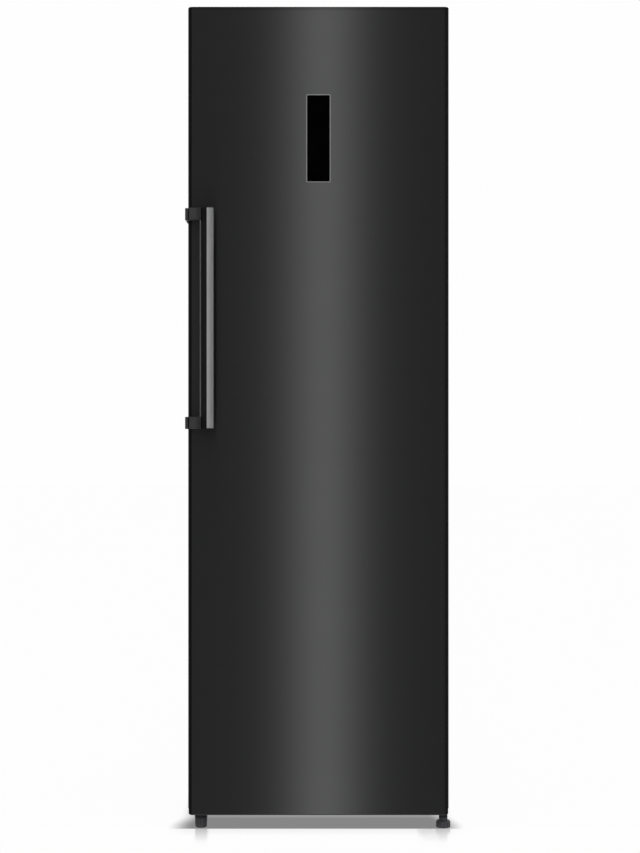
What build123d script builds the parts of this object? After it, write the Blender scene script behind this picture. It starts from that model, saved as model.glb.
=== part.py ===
from build123d import *
import math
import os

os.makedirs("parts", exist_ok=True)

# An upright freezer: a tall foamed cabinet with one flat door hinged on its right
# side, a bar handle near the door's left edge and six drawers behind the door.
# Millimetres. +Z is up, the door faces -Y, +X is the right-hand side seen from the
# front. The origin is on the floor under the middle of the whole object.

# ---------------------------------------------------------------- overall sizes
CABINET_WIDTH = 595.0
OVERALL_HEIGHT = 1876.0        # floor to the top edge of the door
CABINET_DEPTH = 583.0          # insulated body without the door
CABINET_BOTTOM = 33.0          # floor to the underside of the body
CABINET_TOP_DROP = 18.0        # body's roof below the door's top edge
DOOR_THICKNESS = 60.0
DOOR_BOTTOM = 35.0             # floor to the underside of the door
SEAL_GAP = 12.0                # between the closed door and the body
HANDLE_REACH = 50.0            # how far the bar stands in front of the door

HALF_WIDTH = CABINET_WIDTH / 2
TOTAL_DEPTH = HANDLE_REACH + DOOR_THICKNESS + SEAL_GAP + CABINET_DEPTH
DOOR_FRONT_Y = HANDLE_REACH - TOTAL_DEPTH / 2
DOOR_REAR_Y = DOOR_FRONT_Y + DOOR_THICKNESS
CABINET_FRONT_Y = DOOR_REAR_Y + SEAL_GAP
CABINET_REAR_Y = CABINET_FRONT_Y + CABINET_DEPTH
CABINET_TOP = OVERALL_HEIGHT - CABINET_TOP_DROP

# ---------------------------------------------------------------- body walls
SHEET = 1.0                    # painted steel of the body and the door
LINER_SHEET = 1.2              # moulded plastic liner
SIDE_WALL = 58.0               # outer skin to the liner's inner face
TOP_WALL = 60.0
FLOOR_WALL = 60.0
REAR_WALL = 64.0
FRONT_FLANGE = 35.0            # steel frame that the door seal closes on
LINER_CORNER = 14.0            # radius of the liner's corners seen from the side
BAY_HEIGHT = 230.0             # compressor bay above the body's underside
BAY_DEPTH = 200.0
BAY_WALL = 50.0                # insulation between the bay and the cold space

INNER_X = HALF_WIDTH - SIDE_WALL
INNER_TOP = CABINET_TOP - TOP_WALL
INNER_FLOOR = CABINET_BOTTOM + FLOOR_WALL
INNER_REAR = CABINET_REAR_Y - REAR_WALL
BAY_CEILING = CABINET_BOTTOM + BAY_HEIGHT
BAY_FRONT = CABINET_REAR_Y - BAY_DEPTH
STEP_TOP = BAY_CEILING + BAY_WALL
STEP_FRONT = BAY_FRONT - BAY_WALL

# ---------------------------------------------------------------- clearances
SLIDE_GAP = 0.3                # between a part that moves and what carries it
PIN_GAP = 0.3                  # radial play of a pin in its bush
SEAL_CLEARANCE = 0.4           # seal to the body with the door shut
SHELF_CLEARANCE = 1.0          # shelf to the liner's side walls

# ---------------------------------------------------------------- cold space
LEDGE_WIDTH = 9.0              # moulded rails that carry the shelves
LEDGE_HEIGHT = 8.0
SHELF_GLASS = 4.0
SHELF_SETBACK = 42.0           # body's front to the front edge of a shelf
DUCT_DEPTH = 60.0              # air duct behind the drawers
DUCT_SHEET = 2.5
DUCT_SIDE_GAP = 6.0            # duct cover to the liner's side walls
DRAWER_COUNT = 6
DRAWER_SETBACK = 36.0          # body's front to the drawer's pull
DRAWER_SIDE_GAP = 3.0          # drawer to the rails beside it
DRAWER_TOP_GAP = 6.0           # drawer front to the shelf above it
DRAWER_REAR_GAP = 6.0
DRAWER_WALL = 2.5
DRAWER_CORNER = 10.0
DRAWER_FRONT_CORNER = 8.0
DRAWER_RIM_DROP = 34.0         # side walls lower than the front
PULL_DEPTH = 14.0              # how far the pull stands in front of the drawer
PULL_HEIGHT = 30.0
PULL_BELOW_TOP = 14.0
PULL_SIDE_GAP = 40.0

DUCT_FRONT = INNER_REAR - DUCT_DEPTH
SHELF_FRONT = CABINET_FRONT_Y + SHELF_SETBACK
SHELF_REAR = DUCT_FRONT - SHELF_CLEARANCE
SHELF_DEPTH = SHELF_REAR - SHELF_FRONT
LOWEST_SHELF = STEP_TOP + SHELF_CLEARANCE
SHELF_PITCH = (INNER_TOP - LOWEST_SHELF) / (DRAWER_COUNT - 1)
SHELF_UNDERSIDES = [LOWEST_SHELF + i * SHELF_PITCH for i in range(DRAWER_COUNT - 1)]
DRAWER_HALF = INNER_X - LEDGE_WIDTH - DRAWER_SIDE_GAP
DRAWER_FRONT = CABINET_FRONT_Y + DRAWER_SETBACK

# ---------------------------------------------------------------- door
EDGE_ROLL = 12.0               # rolled vertical front edges
TOP_CORNER = 3.0               # upper corners seen from the front
BOTTOM_CAP = 2.5               # lower end cap below the door's steel front
BOTTOM_CAP_INSET = 2.0
BOTTOM_CAP_CHAMFER = 1.0
CAP_PLUG = 12.0                # lower cap's plug inside the door panel
HEM_NOTCH = 12.0               # steel cut back at both lower corners, where the cap shows
TOP_CAP_RECESS = 1.5           # upper cap below the panel's top edge
TOP_CAP_HEIGHT = 32.0
TOP_CAP_WALL = 4.0
LINER_RISE = 8.0               # raised field on the door's inner liner
LINER_FIELD_MARGIN = 26.0      # raised field inside the seal
SEAL_WIDTH = 16.0
SEAL_CENTRE_IN = 22.0          # seal's middle inside the body's outline
SEAL_FOOT = 3.0                # thickness of the seal's dart against the liner

# ---------------------------------------------------------------- hinges
HINGE_FROM_SIDE = 10.5         # axis to the door's right side
HINGE_FROM_FRONT = 37.5        # axis to the door's front face
HINGE_PLATE = 3.0
HINGE_PIN_RADIUS = 4.0
HINGE_PIN_ENGAGED = 9.0        # pin length inside the bush
BUSH_WALL = 2.7
BUSH_LENGTH = 10.0
ARM_HALF = 11.0                # half the width of the hinge arm
NOTCH_CLEARANCE = 2.0          # notch in the door's top around the arm
DOOR_OPEN_ANGLE = 120.0
HINGE_COVER_WALL = 2.0
HINGE_COVER_HEIGHT = 12.0
HINGE_PLATE_WIDTH = 62.0
HINGE_PLATE_RUN = 74.0         # plate on the body behind its front edge
LOWER_PLATE_REACH = 54.0       # lower plate to the left of the axis
PIN_SHOULDER = 3.0
HINGE_SCREW_RADIUS = 2.5
HINGE_SCREW_HEX = 5.0
HINGE_SCREW_HEAD = 3.5

HINGE_X = HALF_WIDTH - HINGE_FROM_SIDE
HINGE_Y = DOOR_FRONT_Y + HINGE_FROM_FRONT
NOTCH_FLOOR = CABINET_TOP - NOTCH_CLEARANCE - 2.0

# ---------------------------------------------------------------- display window
WINDOW_WIDTH = 51.5
WINDOW_HEIGHT = 196.5
WINDOW_BELOW_TOP = 299.3       # door's top edge to the window's middle
WINDOW_CORNER = 2.0
WINDOW_GLASS = 3.0
WINDOW_RECESS = 0.3
BEZEL_RIM = 2.2
BEZEL_WALL = 1.0
BEZEL_PROUD = 0.4
BEZEL_DEPTH = 16.0
BEZEL_FLOOR = 2.0
BOARD_THICKNESS = 1.6
BOARD_GAP = 0.5

# ---------------------------------------------------------------- handle
BAR_LENGTH = 495.0
BAR_BELOW_TOP = 711.6          # door's top edge to the bar's middle
BAR_RIGHT_FROM_SIDE = 62.2     # door's left side to the bar's right edge
BAR_FACE = 15.6                # bright flat strip of the bar
BAR_WIDTH = 31.8
BAR_DEPTH = 19.0
BAR_EDGE = 2.4                 # thin rear-left edge of the bar
BAR_LIP = 1.4                  # forward-facing lip on that edge
BAR_CROWN = 0.5                # rise of the bright face's middle
BAR_CHAMFER = 0.6
BAR_ROUND = 1.5
BAR_GRIP_ROUND = 4.0
BAR_CREST = 5.2                # from the bright face to the crest on the flank
BAR_HOLLOW = 1.2
BAR_END_PLATE = 2.0            # bracket's plate over the bar's end
BRACKET_HEIGHT = 27.5
BRACKET_BITE = 4.0             # how deep the bar sits in the arm
BRACKET_ROUND = 1.6
BRACKET_FOOT = 3.6             # thickness of the foot on the door's side
BRACKET_FOOT_SETBACK = 6.0     # foot behind the arm's front face
BRACKET_FOOT_REACH = 40.0      # foot behind the door's front face
BRACKET_ARM = 12.0             # thickness of the arm, front to back
BRACKET_GROOVE = 3.6           # groove between foot and arm
BRACKET_GROOVE_IN = 2.8        # groove to the right of the door's side
BRACKET_GROOVE_DEPTH = 11.0
HANDLE_SCREW_SETBACK = 14.0    # screw in front of the foot's rear end
HANDLE_SCREW_RADIUS = 2.5
HANDLE_SCREW_HEAD = 4.4
HANDLE_HEAD_SINK = 2.4         # seat of the screw's head in the foot
HANDLE_HEAD_HEIGHT = 1.8

WINDOW_CENTRE_Z = OVERALL_HEIGHT - WINDOW_BELOW_TOP
BAR_CENTRE_Z = OVERALL_HEIGHT - BAR_BELOW_TOP

# ---------------------------------------------------------------- feet and rollers
RIGHT_FOOT_RADIUS = 16.5
RIGHT_FOOT_BASE = 14.5
RIGHT_FOOT_NECK = 10.0
LEFT_FOOT_RADIUS = 14.6
LEFT_FOOT_TAPER = 2.5          # degrees, narrower towards the floor
LEFT_FOOT_FROM_SIDE = 27.5
FOOT_RIBS = 12
FOOT_RIB_DEPTH = 1.3
FOOT_RIB_END = 6.0             # plain collar above the left foot's ribs
FOOT_EDGE = 1.5
FOOT_STUD = 4.0                # radius of the threaded stud
FOOT_STUD_LENGTH = 20.0
STOP_FROM_AXIS = 34.5
STOP_SIZE = (5.0, 6.0, 6.0)
ROLLER_RADIUS = 15.0
ROLLER_WIDTH = 16.0
ROLLER_FROM_SIDE = 32.0
ROLLER_FROM_REAR = 34.0
AXLE_RADIUS = 3.0
FORK_SHEET = 2.0
FORK_HALF_TOP = 20.0           # cheek at the plate, half its depth
FORK_HALF_LOW = 8.0
FORK_BELOW_AXLE = 6.0

# ---------------------------------------------------------------- compressor bay
BAY_PLATE = 2.0
COMPRESSOR_RADIUS = 66.0
COMPRESSOR_HEIGHT = 138.0
COMPRESSOR_FROM_SIDE = 140.0   # body's right side to the compressor's axis
COMPRESSOR_FROM_REAR = 104.0
MOUNT_HEIGHT = 16.0
MOUNT_RADIUS = 11.0
MOUNT_SPREAD_X = 84.0
MOUNT_SPREAD_Y = 55.0
COMPRESSOR_FOOT = 3.0
COMPRESSOR_HALF_DEPTH = 56.8
COMPRESSOR_DOME = 34.0
WELD_FLANGE = 3.0              # weld flange beyond the shell
WELD_FLANGE_SHEET = 4.0
WELD_FLANGE_UP = 76.0          # above the shell's foot plate
STUB_RADIUS = 4.0
STUB_REACH = 22.0
STUB_PLACES = ((-18.0, 60.0), (20.0, 44.0))
TERMINAL_BOX = (34.0, 58.0, 62.0)
TERMINAL_BOX_UP = 24.0
TERMINAL_BOX_CORNER = 5.0
TRAY_SIZE = (150.0, 130.0, 24.0)
TRAY_WALL = 2.0
TRAY_CORNER = 12.0
COIL_TUBE = 3.0                # radius of the condenser tube
COIL_PASSES = 7
COIL_PITCH = 22.0
COIL_WIDTH = 120.0
COIL_FROM_SIDE = 184.0         # body's left side to the condenser's middle
DRIER_RADIUS = 8.0
DRIER_LENGTH = 70.0
DRIER_NECK = 14.0
CONDENSER_FROM_REAR = 80.0
CONTROL_BOX = (78.0, 110.0, 120.0)
CONTROL_BOX_FROM_SIDE = 62.0
CONTROL_BOX_GAP = 8.0          # to the bay's front wall
BAY_COVER = 2.0
BAY_COVER_GAP = 0.5
VENT_LENGTH = 62.0
VENT_HEIGHT = 5.0
VENT_ROWS = 9
VENT_PITCH_Z = 16.0
VENT_PITCH_X = 82.0
GLAND_RADIUS = 11.0
GLAND_BORE = 4.0
GLAND_LIP = 2.5                # gland's rim beyond its hole
GLAND_FLANGE = 3.0
GLAND_FROM_SIDE = 62.0
GLAND_HEIGHT = 178.0           # above the body's underside
DRAIN_RADIUS = 7.0
DRAIN_WALL = 1.5
DRAIN_FLANGE = 5.0             # rim of the drain tube on the cold space's floor
DRAIN_DROP = 6.0               # tube's lower end below the bay's ceiling

# ---------------------------------------------------------------- duct contents
FAN_RADIUS = 54.0
FAN_HUB = 17.0
FAN_BLADES = 7
FAN_DEPTH = 18.0
FAN_CHORD = 24.0                # blade width
FAN_PITCH = 28.0                # blade angle to the fan's plane, degrees
FAN_SHEET = 1.6
FAN_BELOW_TOP = 120.0          # fan axis below the cold space's ceiling
FAN_GRILLE_SLOTS = 24
MOTOR_RADIUS = 21.0
MOTOR_LENGTH = 20.0
MOTOR_FEET = 58.0
MOTOR_FOOT = (12.0, 18.0)       # width and height of each foot of the bridge
MOTOR_BRIDGE = 3.0
MOTOR_STAND_SHARE = 16.0 / 35.0 # of the duct's spare depth, behind the motor's bridge
FAN_GAP = 2.0                  # motor to the fan's hub
MOTOR_SHAFT = 1.5
HUB_BOTTOM = 4.0               # closed front of the fan's hub
EVAPORATOR_WIDTH = 380.0
EVAPORATOR_TUBE = 4.0
EVAPORATOR_PASSES = 8
EVAPORATOR_PITCH = 26.0
EVAPORATOR_BELOW_FAN = 110.0
FIN_COUNT = 33
FIN_SHEET = 0.6
FIN_DEPTH = 40.0
HEATER_RADIUS = 4.0
HEATER_LEG = 60.0
DUCT_SLOT_LENGTH = 70.0
DUCT_SLOT_HEIGHT = 6.0

# ---------------------------------------------------------------- light and sensor
LIGHT_LENGTH = 220.0
LIGHT_WIDTH = 26.0
LIGHT_HEIGHT = 7.0
LIGHT_SETBACK = 22.0
SENSOR_RADIUS = 5.0
SENSOR_LENGTH = 34.0


def finish(piece, label):
    """Name a finished piece and write its file."""
    piece.label = label
    export_step(piece, "parts/" + label + ".step")


def block_between(low, high):
    """A plain block from its low corner to its high corner."""
    size = [b - a for a, b in zip(low, high)]
    middle = [(a + b) / 2 for a, b in zip(low, high)]
    with BuildPart() as block:
        with Locations(tuple(middle)):
            Box(*size)
    return block.part


# ================================================================ cold space
def cold_space(grow):
    """Side outline of the cold space, grown outwards by a wall thickness."""
    corners = [
        (CABINET_FRONT_Y, INNER_FLOOR - grow),
        (STEP_FRONT + grow, INNER_FLOOR - grow),
        (STEP_FRONT + grow, STEP_TOP - grow),
        (INNER_REAR + grow, STEP_TOP - grow),
        (INNER_REAR + grow, INNER_TOP + grow),
        (CABINET_FRONT_Y, INNER_TOP + grow),
    ]
    outer = LINER_CORNER + grow
    radii = [0, outer, LINER_CORNER - grow, outer, outer, 0]
    with BuildPart() as space:
        with BuildSketch(Plane.YZ):
            with BuildLine():
                FilletPolyline(*corners, radius=radii, close=True)
            make_face()
        extrude(amount=INNER_X + grow, both=True)
    return space.part


cold_inside = cold_space(0.0)
cold_outside = cold_space(LINER_SHEET)

DRAIN_X = HALF_WIDTH - COMPRESSOR_FROM_SIDE
DRAIN_Y = INNER_REAR - DUCT_DEPTH / 2


# ================================================================ body skins
def side_panel(side):
    """Painted side wall with its front edge folded in; side is -1 or +1."""
    outer = side * HALF_WIDTH
    inner = side * (HALF_WIDTH - SHEET)
    fold = side * (HALF_WIDTH - FRONT_FLANGE)
    with BuildPart() as panel:
        with BuildSketch(Plane.XY.offset(CABINET_BOTTOM)):
            Polygon(
                (outer, CABINET_FRONT_Y),
                (outer, CABINET_REAR_Y),
                (inner, CABINET_REAR_Y),
                (inner, CABINET_FRONT_Y + SHEET),
                (fold, CABINET_FRONT_Y + SHEET),
                (fold, CABINET_FRONT_Y),
                align=None,
            )
        extrude(amount=CABINET_TOP - CABINET_BOTTOM)
    return panel.part


finish(side_panel(-1), "side_panel_left")
finish(side_panel(1), "side_panel_right")

ROOF_HALF = HALF_WIDTH - SHEET
with BuildPart() as top_panel:
    with BuildSketch(Plane.YZ):
        Polygon(
            (CABINET_FRONT_Y + SHEET, CABINET_TOP),
            (CABINET_REAR_Y, CABINET_TOP),
            (CABINET_REAR_Y, CABINET_TOP - SHEET),
            (CABINET_FRONT_Y + SHEET, CABINET_TOP - SHEET),
            align=None,
        )
    extrude(amount=ROOF_HALF, both=True)
    # The front fold of the roof fills the space between the side walls' folds.
    with BuildSketch(Plane.XZ.offset(-CABINET_FRONT_Y)):
        with Locations((0, CABINET_TOP - FRONT_FLANGE / 2)):
            Rectangle(2 * (HALF_WIDTH - FRONT_FLANGE), FRONT_FLANGE)
    extrude(amount=-SHEET)
finish(top_panel.part, "top_panel")

# The base sheet closes the foam below: floor, front wall and ceiling of the bay.
with BuildPart() as base_pan:
    with BuildSketch(Plane.YZ):
        Polygon(
            (CABINET_FRONT_Y + SHEET, CABINET_BOTTOM),
            (BAY_FRONT, CABINET_BOTTOM),
            (BAY_FRONT, BAY_CEILING),
            (CABINET_REAR_Y - SHEET, BAY_CEILING),
            (CABINET_REAR_Y - SHEET, BAY_CEILING + SHEET),
            (BAY_FRONT - SHEET, BAY_CEILING + SHEET),
            (BAY_FRONT - SHEET, CABINET_BOTTOM + SHEET),
            (CABINET_FRONT_Y + SHEET, CABINET_BOTTOM + SHEET),
            align=None,
        )
    extrude(amount=ROOF_HALF, both=True)
    with BuildSketch(Plane.XZ.offset(-CABINET_FRONT_Y)):
        with Locations((0, CABINET_BOTTOM + FRONT_FLANGE / 2)):
            Rectangle(2 * (HALF_WIDTH - FRONT_FLANGE), FRONT_FLANGE)
    extrude(amount=-SHEET)
    with Locations((DRAIN_X, DRAIN_Y, BAY_CEILING)):
        Cylinder(DRAIN_RADIUS, 4 * SHEET, mode=Mode.SUBTRACT)
finish(base_pan.part, "base_pan")

finish(
    block_between(
        (-ROOF_HALF, CABINET_REAR_Y - SHEET, BAY_CEILING + SHEET),
        (ROOF_HALF, CABINET_REAR_Y, CABINET_TOP - SHEET),
    ),
    "back_panel",
)

# ================================================================ foam and liner
with BuildPart() as cabinet_foam:
    with BuildSketch(Plane.YZ):
        foam_front = CABINET_FRONT_Y + LINER_SHEET
        Polygon(
            (foam_front, CABINET_BOTTOM + SHEET),
            (BAY_FRONT - SHEET, CABINET_BOTTOM + SHEET),
            (BAY_FRONT - SHEET, BAY_CEILING + SHEET),
            (CABINET_REAR_Y - SHEET, BAY_CEILING + SHEET),
            (CABINET_REAR_Y - SHEET, CABINET_TOP - SHEET),
            (foam_front, CABINET_TOP - SHEET),
            align=None,
        )
    extrude(amount=ROOF_HALF, both=True)
    add(cold_outside, mode=Mode.SUBTRACT)
    with Locations((DRAIN_X, DRAIN_Y, (BAY_CEILING + STEP_TOP) / 2)):
        Cylinder(DRAIN_RADIUS, 2 * BAY_WALL, mode=Mode.SUBTRACT)
finish(cabinet_foam.part, "cabinet_foam")

# Rails on both side walls carry the glass shelves.
with BuildPart() as rails:
    for underside in SHELF_UNDERSIDES:
        for side in (-1, 1):
            rail_x = side * (INNER_X - LEDGE_WIDTH / 2)
            rail_y = (SHELF_FRONT + SHELF_REAR) / 2
            with Locations((rail_x, rail_y, underside - LEDGE_HEIGHT / 2)):
                Box(LEDGE_WIDTH, SHELF_DEPTH, LEDGE_HEIGHT)
    add(cold_inside, mode=Mode.INTERSECT)

FLANGE_EDGE_X = HALF_WIDTH - FRONT_FLANGE
with BuildPart() as inner_liner:
    add(cold_outside)
    # Front flange of the liner, up to the inner edge of the steel frame.
    flange_low = CABINET_BOTTOM + FRONT_FLANGE
    flange_high = CABINET_TOP - FRONT_FLANGE
    with BuildSketch(Plane.XZ.offset(-CABINET_FRONT_Y)):
        with Locations((0, (flange_low + flange_high) / 2)):
            Rectangle(2 * FLANGE_EDGE_X, flange_high - flange_low)
    extrude(amount=-LINER_SHEET)
    add(cold_inside, mode=Mode.SUBTRACT)
    add(rails.part)
    with Locations((DRAIN_X, DRAIN_Y, STEP_TOP)):
        Cylinder(DRAIN_RADIUS, 4 * LINER_SHEET, mode=Mode.SUBTRACT)
finish(inner_liner.part, "inner_liner")

# ================================================================ shelves
SHELF_HALF = INNER_X - SHELF_CLEARANCE
for number, underside in enumerate(SHELF_UNDERSIDES, start=1):
    with BuildPart() as shelf:
        with BuildSketch(Plane.XY.offset(underside)):
            with Locations((0, (SHELF_FRONT + SHELF_REAR) / 2)):
                RectangleRounded(2 * SHELF_HALF, SHELF_DEPTH, 6.0)
        extrude(amount=SHELF_GLASS)
        fillet(shelf.edges().filter_by(GeomType.LINE).filter_by(Axis.X), 1.0)
    finish(shelf.part, "shelf_" + str(number))


# ================================================================ drawers
def drawer(floor_z, front_top, rear_y):
    """A clear tub with a taller front and a moulded pull across it."""
    front_face = DRAWER_FRONT + PULL_DEPTH
    rim = front_top - DRAWER_RIM_DROP
    depth = rear_y - front_face
    middle_y = (rear_y + front_face) / 2
    with BuildPart() as tub:
        with BuildSketch(Plane.XY.offset(floor_z)):
            with Locations((0, middle_y)):
                RectangleRounded(2 * DRAWER_HALF, depth, DRAWER_CORNER)
        extrude(amount=rim - floor_z)
        with BuildSketch(Plane.XY.offset(floor_z + DRAWER_WALL)):
            with Locations((0, middle_y)):
                RectangleRounded(
                    2 * (DRAWER_HALF - DRAWER_WALL),
                    depth - 2 * DRAWER_WALL,
                    DRAWER_CORNER - DRAWER_WALL,
                )
        extrude(amount=rim - floor_z, mode=Mode.SUBTRACT)
        # Front plate, taller than the tub.
        with BuildSketch(Plane.XZ.offset(-front_face)):
            with Locations((0, (floor_z + front_top) / 2)):
                RectangleRounded(2 * DRAWER_HALF, front_top - floor_z, DRAWER_FRONT_CORNER)
        extrude(amount=-DRAWER_WALL)
        # Pull: a lip that stands forward and turns down, open behind for the fingers.
        pull_half = DRAWER_HALF - PULL_SIDE_GAP
        with BuildSketch(Plane.YZ.offset(-pull_half)):
            Polygon(
                (front_face, front_top - PULL_BELOW_TOP),
                (DRAWER_FRONT, front_top - PULL_BELOW_TOP),
                (DRAWER_FRONT, front_top - PULL_BELOW_TOP - PULL_HEIGHT),
                (DRAWER_FRONT + DRAWER_WALL, front_top - PULL_BELOW_TOP - PULL_HEIGHT),
                (DRAWER_FRONT + DRAWER_WALL, front_top - PULL_BELOW_TOP - DRAWER_WALL),
                (front_face, front_top - PULL_BELOW_TOP - DRAWER_WALL),
                align=None,
            )
        extrude(amount=2 * pull_half)
    return tub.part


for number in range(1, DRAWER_COUNT + 1):
    if number == 1:
        floor_z = INNER_FLOOR + SLIDE_GAP
        rear_y = STEP_FRONT - LINER_CORNER
    else:
        floor_z = SHELF_UNDERSIDES[number - 2] + SHELF_GLASS + SLIDE_GAP
        rear_y = DUCT_FRONT - DRAWER_REAR_GAP
    if number < DRAWER_COUNT:
        front_top = SHELF_UNDERSIDES[number - 1] - DRAWER_TOP_GAP
    else:
        front_top = INNER_TOP - DRAWER_TOP_GAP - LIGHT_HEIGHT
    finish(drawer(floor_z, front_top, rear_y), "drawer_" + str(number))

# ================================================================ air duct
FAN_Z = INNER_TOP - FAN_BELOW_TOP
DUCT_HALF = INNER_X - DUCT_SIDE_GAP
DUCT_LOW = STEP_TOP + LINER_CORNER
DUCT_HIGH = INNER_TOP - LINER_CORNER
with BuildPart() as duct_cover:
    add(block_between((-DUCT_HALF, DUCT_FRONT, DUCT_LOW), (DUCT_HALF, INNER_REAR, DUCT_HIGH)))
    inner_low = (-DUCT_HALF + DUCT_SHEET, DUCT_FRONT + DUCT_SHEET, DUCT_LOW + DUCT_SHEET)
    inner_high = (DUCT_HALF - DUCT_SHEET, INNER_REAR, DUCT_HIGH - DUCT_SHEET)
    add(block_between(inner_low, inner_high), mode=Mode.SUBTRACT)
    # Outlet slots behind the upper edge of every drawer.
    for underside in SHELF_UNDERSIDES[1:]:
        with BuildSketch(Plane.XZ.offset(-DUCT_FRONT)):
            with Locations((0, underside - 3 * DUCT_SLOT_HEIGHT)):
                with GridLocations(2 * DUCT_SLOT_LENGTH, 2 * DUCT_SLOT_HEIGHT, 3, 2):
                    SlotOverall(DUCT_SLOT_LENGTH, DUCT_SLOT_HEIGHT)
        extrude(amount=-DUCT_SHEET, mode=Mode.SUBTRACT)
    # Radial slots in front of the fan.
    with BuildSketch(Plane.XZ.offset(-DUCT_FRONT)):
        with Locations((0, FAN_Z)):
            with PolarLocations((FAN_HUB + FAN_RADIUS) / 2, FAN_GRILLE_SLOTS):
                SlotOverall(FAN_RADIUS - FAN_HUB - 4.0, 2.4)
    extrude(amount=-DUCT_SHEET, mode=Mode.SUBTRACT)
finish(duct_cover.part, "duct_cover")

# Fan motor on a bridge that is screwed to the liner's rear wall.
DUCT_SPARE = DUCT_DEPTH - DUCT_SHEET - MOTOR_LENGTH - FAN_GAP - FAN_DEPTH
MOTOR_STAND_OFF = DUCT_SPARE * MOTOR_STAND_SHARE
MOTOR_REAR = INNER_REAR - MOTOR_STAND_OFF
foot_width, foot_height = MOTOR_FOOT
with BuildPart() as fan_motor:
    with BuildSketch(Plane.XZ.offset(-(MOTOR_REAR - MOTOR_LENGTH))):
        with Locations((0, FAN_Z)):
            Circle(MOTOR_RADIUS)
    extrude(amount=-MOTOR_LENGTH)
    add(
        block_between(
            (-MOTOR_FEET, MOTOR_REAR - MOTOR_BRIDGE, FAN_Z - foot_height / 2),
            (MOTOR_FEET, MOTOR_REAR, FAN_Z + foot_height / 2),
        )
    )
    for side in (-1, 1):
        foot_x = side * (MOTOR_FEET - foot_width / 2)
        with Locations((foot_x, (MOTOR_REAR + INNER_REAR) / 2, FAN_Z)):
            Box(foot_width, INNER_REAR - MOTOR_REAR, foot_height)
    # Motor shaft.
    with BuildSketch(Plane.XZ.offset(-(MOTOR_REAR - MOTOR_LENGTH))):
        with Locations((0, FAN_Z)):
            Circle(MOTOR_SHAFT)
    extrude(amount=FAN_DEPTH - HUB_BOTTOM)
finish(fan_motor.part, "fan_motor")

FAN_REAR = MOTOR_REAR - MOTOR_LENGTH - FAN_GAP
FAN_MIDDLE = FAN_REAR - FAN_DEPTH / 2
with BuildPart() as fan_rotor:
    with BuildSketch(Plane.XZ.offset(-FAN_REAR)):
        with Locations((0, FAN_Z)):
            Circle(FAN_HUB)
    extrude(amount=FAN_DEPTH)
    blade_reach = FAN_RADIUS - FAN_HUB + 2.0
    pitch = math.radians(FAN_PITCH)
    for step in range(FAN_BLADES):
        turn = math.radians(step * 360.0 / FAN_BLADES)
        outward = (math.cos(turn), 0, math.sin(turn))
        facing = (
            -math.sin(turn) * math.sin(pitch),
            -math.cos(pitch),
            math.cos(turn) * math.sin(pitch),
        )
        blade_plane = Plane(origin=(0, FAN_MIDDLE, FAN_Z), x_dir=outward, z_dir=facing)
        with BuildSketch(blade_plane):
            with Locations((FAN_HUB - 2.0 + blade_reach / 2, 0)):
                RectangleRounded(blade_reach, FAN_CHORD, 6.0)
        extrude(amount=FAN_SHEET / 2, both=True)
    # Bore for the motor shaft.
    with BuildSketch(Plane.XZ.offset(-FAN_REAR)):
        with Locations((0, FAN_Z)):
            Circle(MOTOR_SHAFT + PIN_GAP)
    extrude(amount=FAN_DEPTH - HUB_BOTTOM, mode=Mode.SUBTRACT)
finish(fan_rotor.part, "fan_rotor")

# ================================================================ evaporator
COIL_Y = INNER_REAR - FIN_DEPTH / 2 - SLIDE_GAP
COIL_TOP = FAN_Z - EVAPORATOR_BELOW_FAN
EVAPORATOR_HALF = EVAPORATOR_WIDTH / 2


def serpentine(half_width, top, pitch, passes, x_middle=0.0):
    """Corner points of a tube that runs to and fro across a coil, from the top down."""
    corners = []
    for number in range(passes):
        ends = (-half_width, half_width) if number % 2 == 0 else (half_width, -half_width)
        for end in ends:
            corners.append((x_middle + end, top - number * pitch))
    return corners


coil_points = serpentine(EVAPORATOR_HALF, COIL_TOP, EVAPORATOR_PITCH, EVAPORATOR_PASSES)
with BuildPart() as evaporator_coil:
    with BuildLine(Plane.XZ.offset(-COIL_Y)) as coil_path:
        FilletPolyline(*coil_points, radius=EVAPORATOR_PITCH / 2 - 0.5)
    with BuildSketch(Plane(coil_path.line @ 0, z_dir=coil_path.line % 0)):
        Circle(EVAPORATOR_TUBE)
    sweep()
finish(evaporator_coil.part, "evaporator_coil")

FIN_SPAN = EVAPORATOR_WIDTH - 2 * EVAPORATOR_PITCH
FIN_TOP = COIL_TOP + EVAPORATOR_PITCH / 2
FIN_BOTTOM = COIL_TOP - (EVAPORATOR_PASSES - 0.5) * EVAPORATOR_PITCH
fin_plates = []
for number in range(FIN_COUNT):
    fin_x = -FIN_SPAN / 2 + number * FIN_SPAN / (FIN_COUNT - 1)
    with BuildPart() as fin:
        with BuildSketch(Plane.YZ.offset(fin_x - FIN_SHEET / 2)):
            with Locations((COIL_Y, (FIN_TOP + FIN_BOTTOM) / 2)):
                Rectangle(FIN_DEPTH, FIN_TOP - FIN_BOTTOM)
            for tube in range(EVAPORATOR_PASSES):
                with Locations((COIL_Y, COIL_TOP - tube * EVAPORATOR_PITCH)):
                    Circle(EVAPORATOR_TUBE, mode=Mode.SUBTRACT)
        extrude(amount=FIN_SHEET)
    fin_plates.append(fin.part.solid())
finish(Compound(children=fin_plates), "evaporator_fins")

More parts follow.
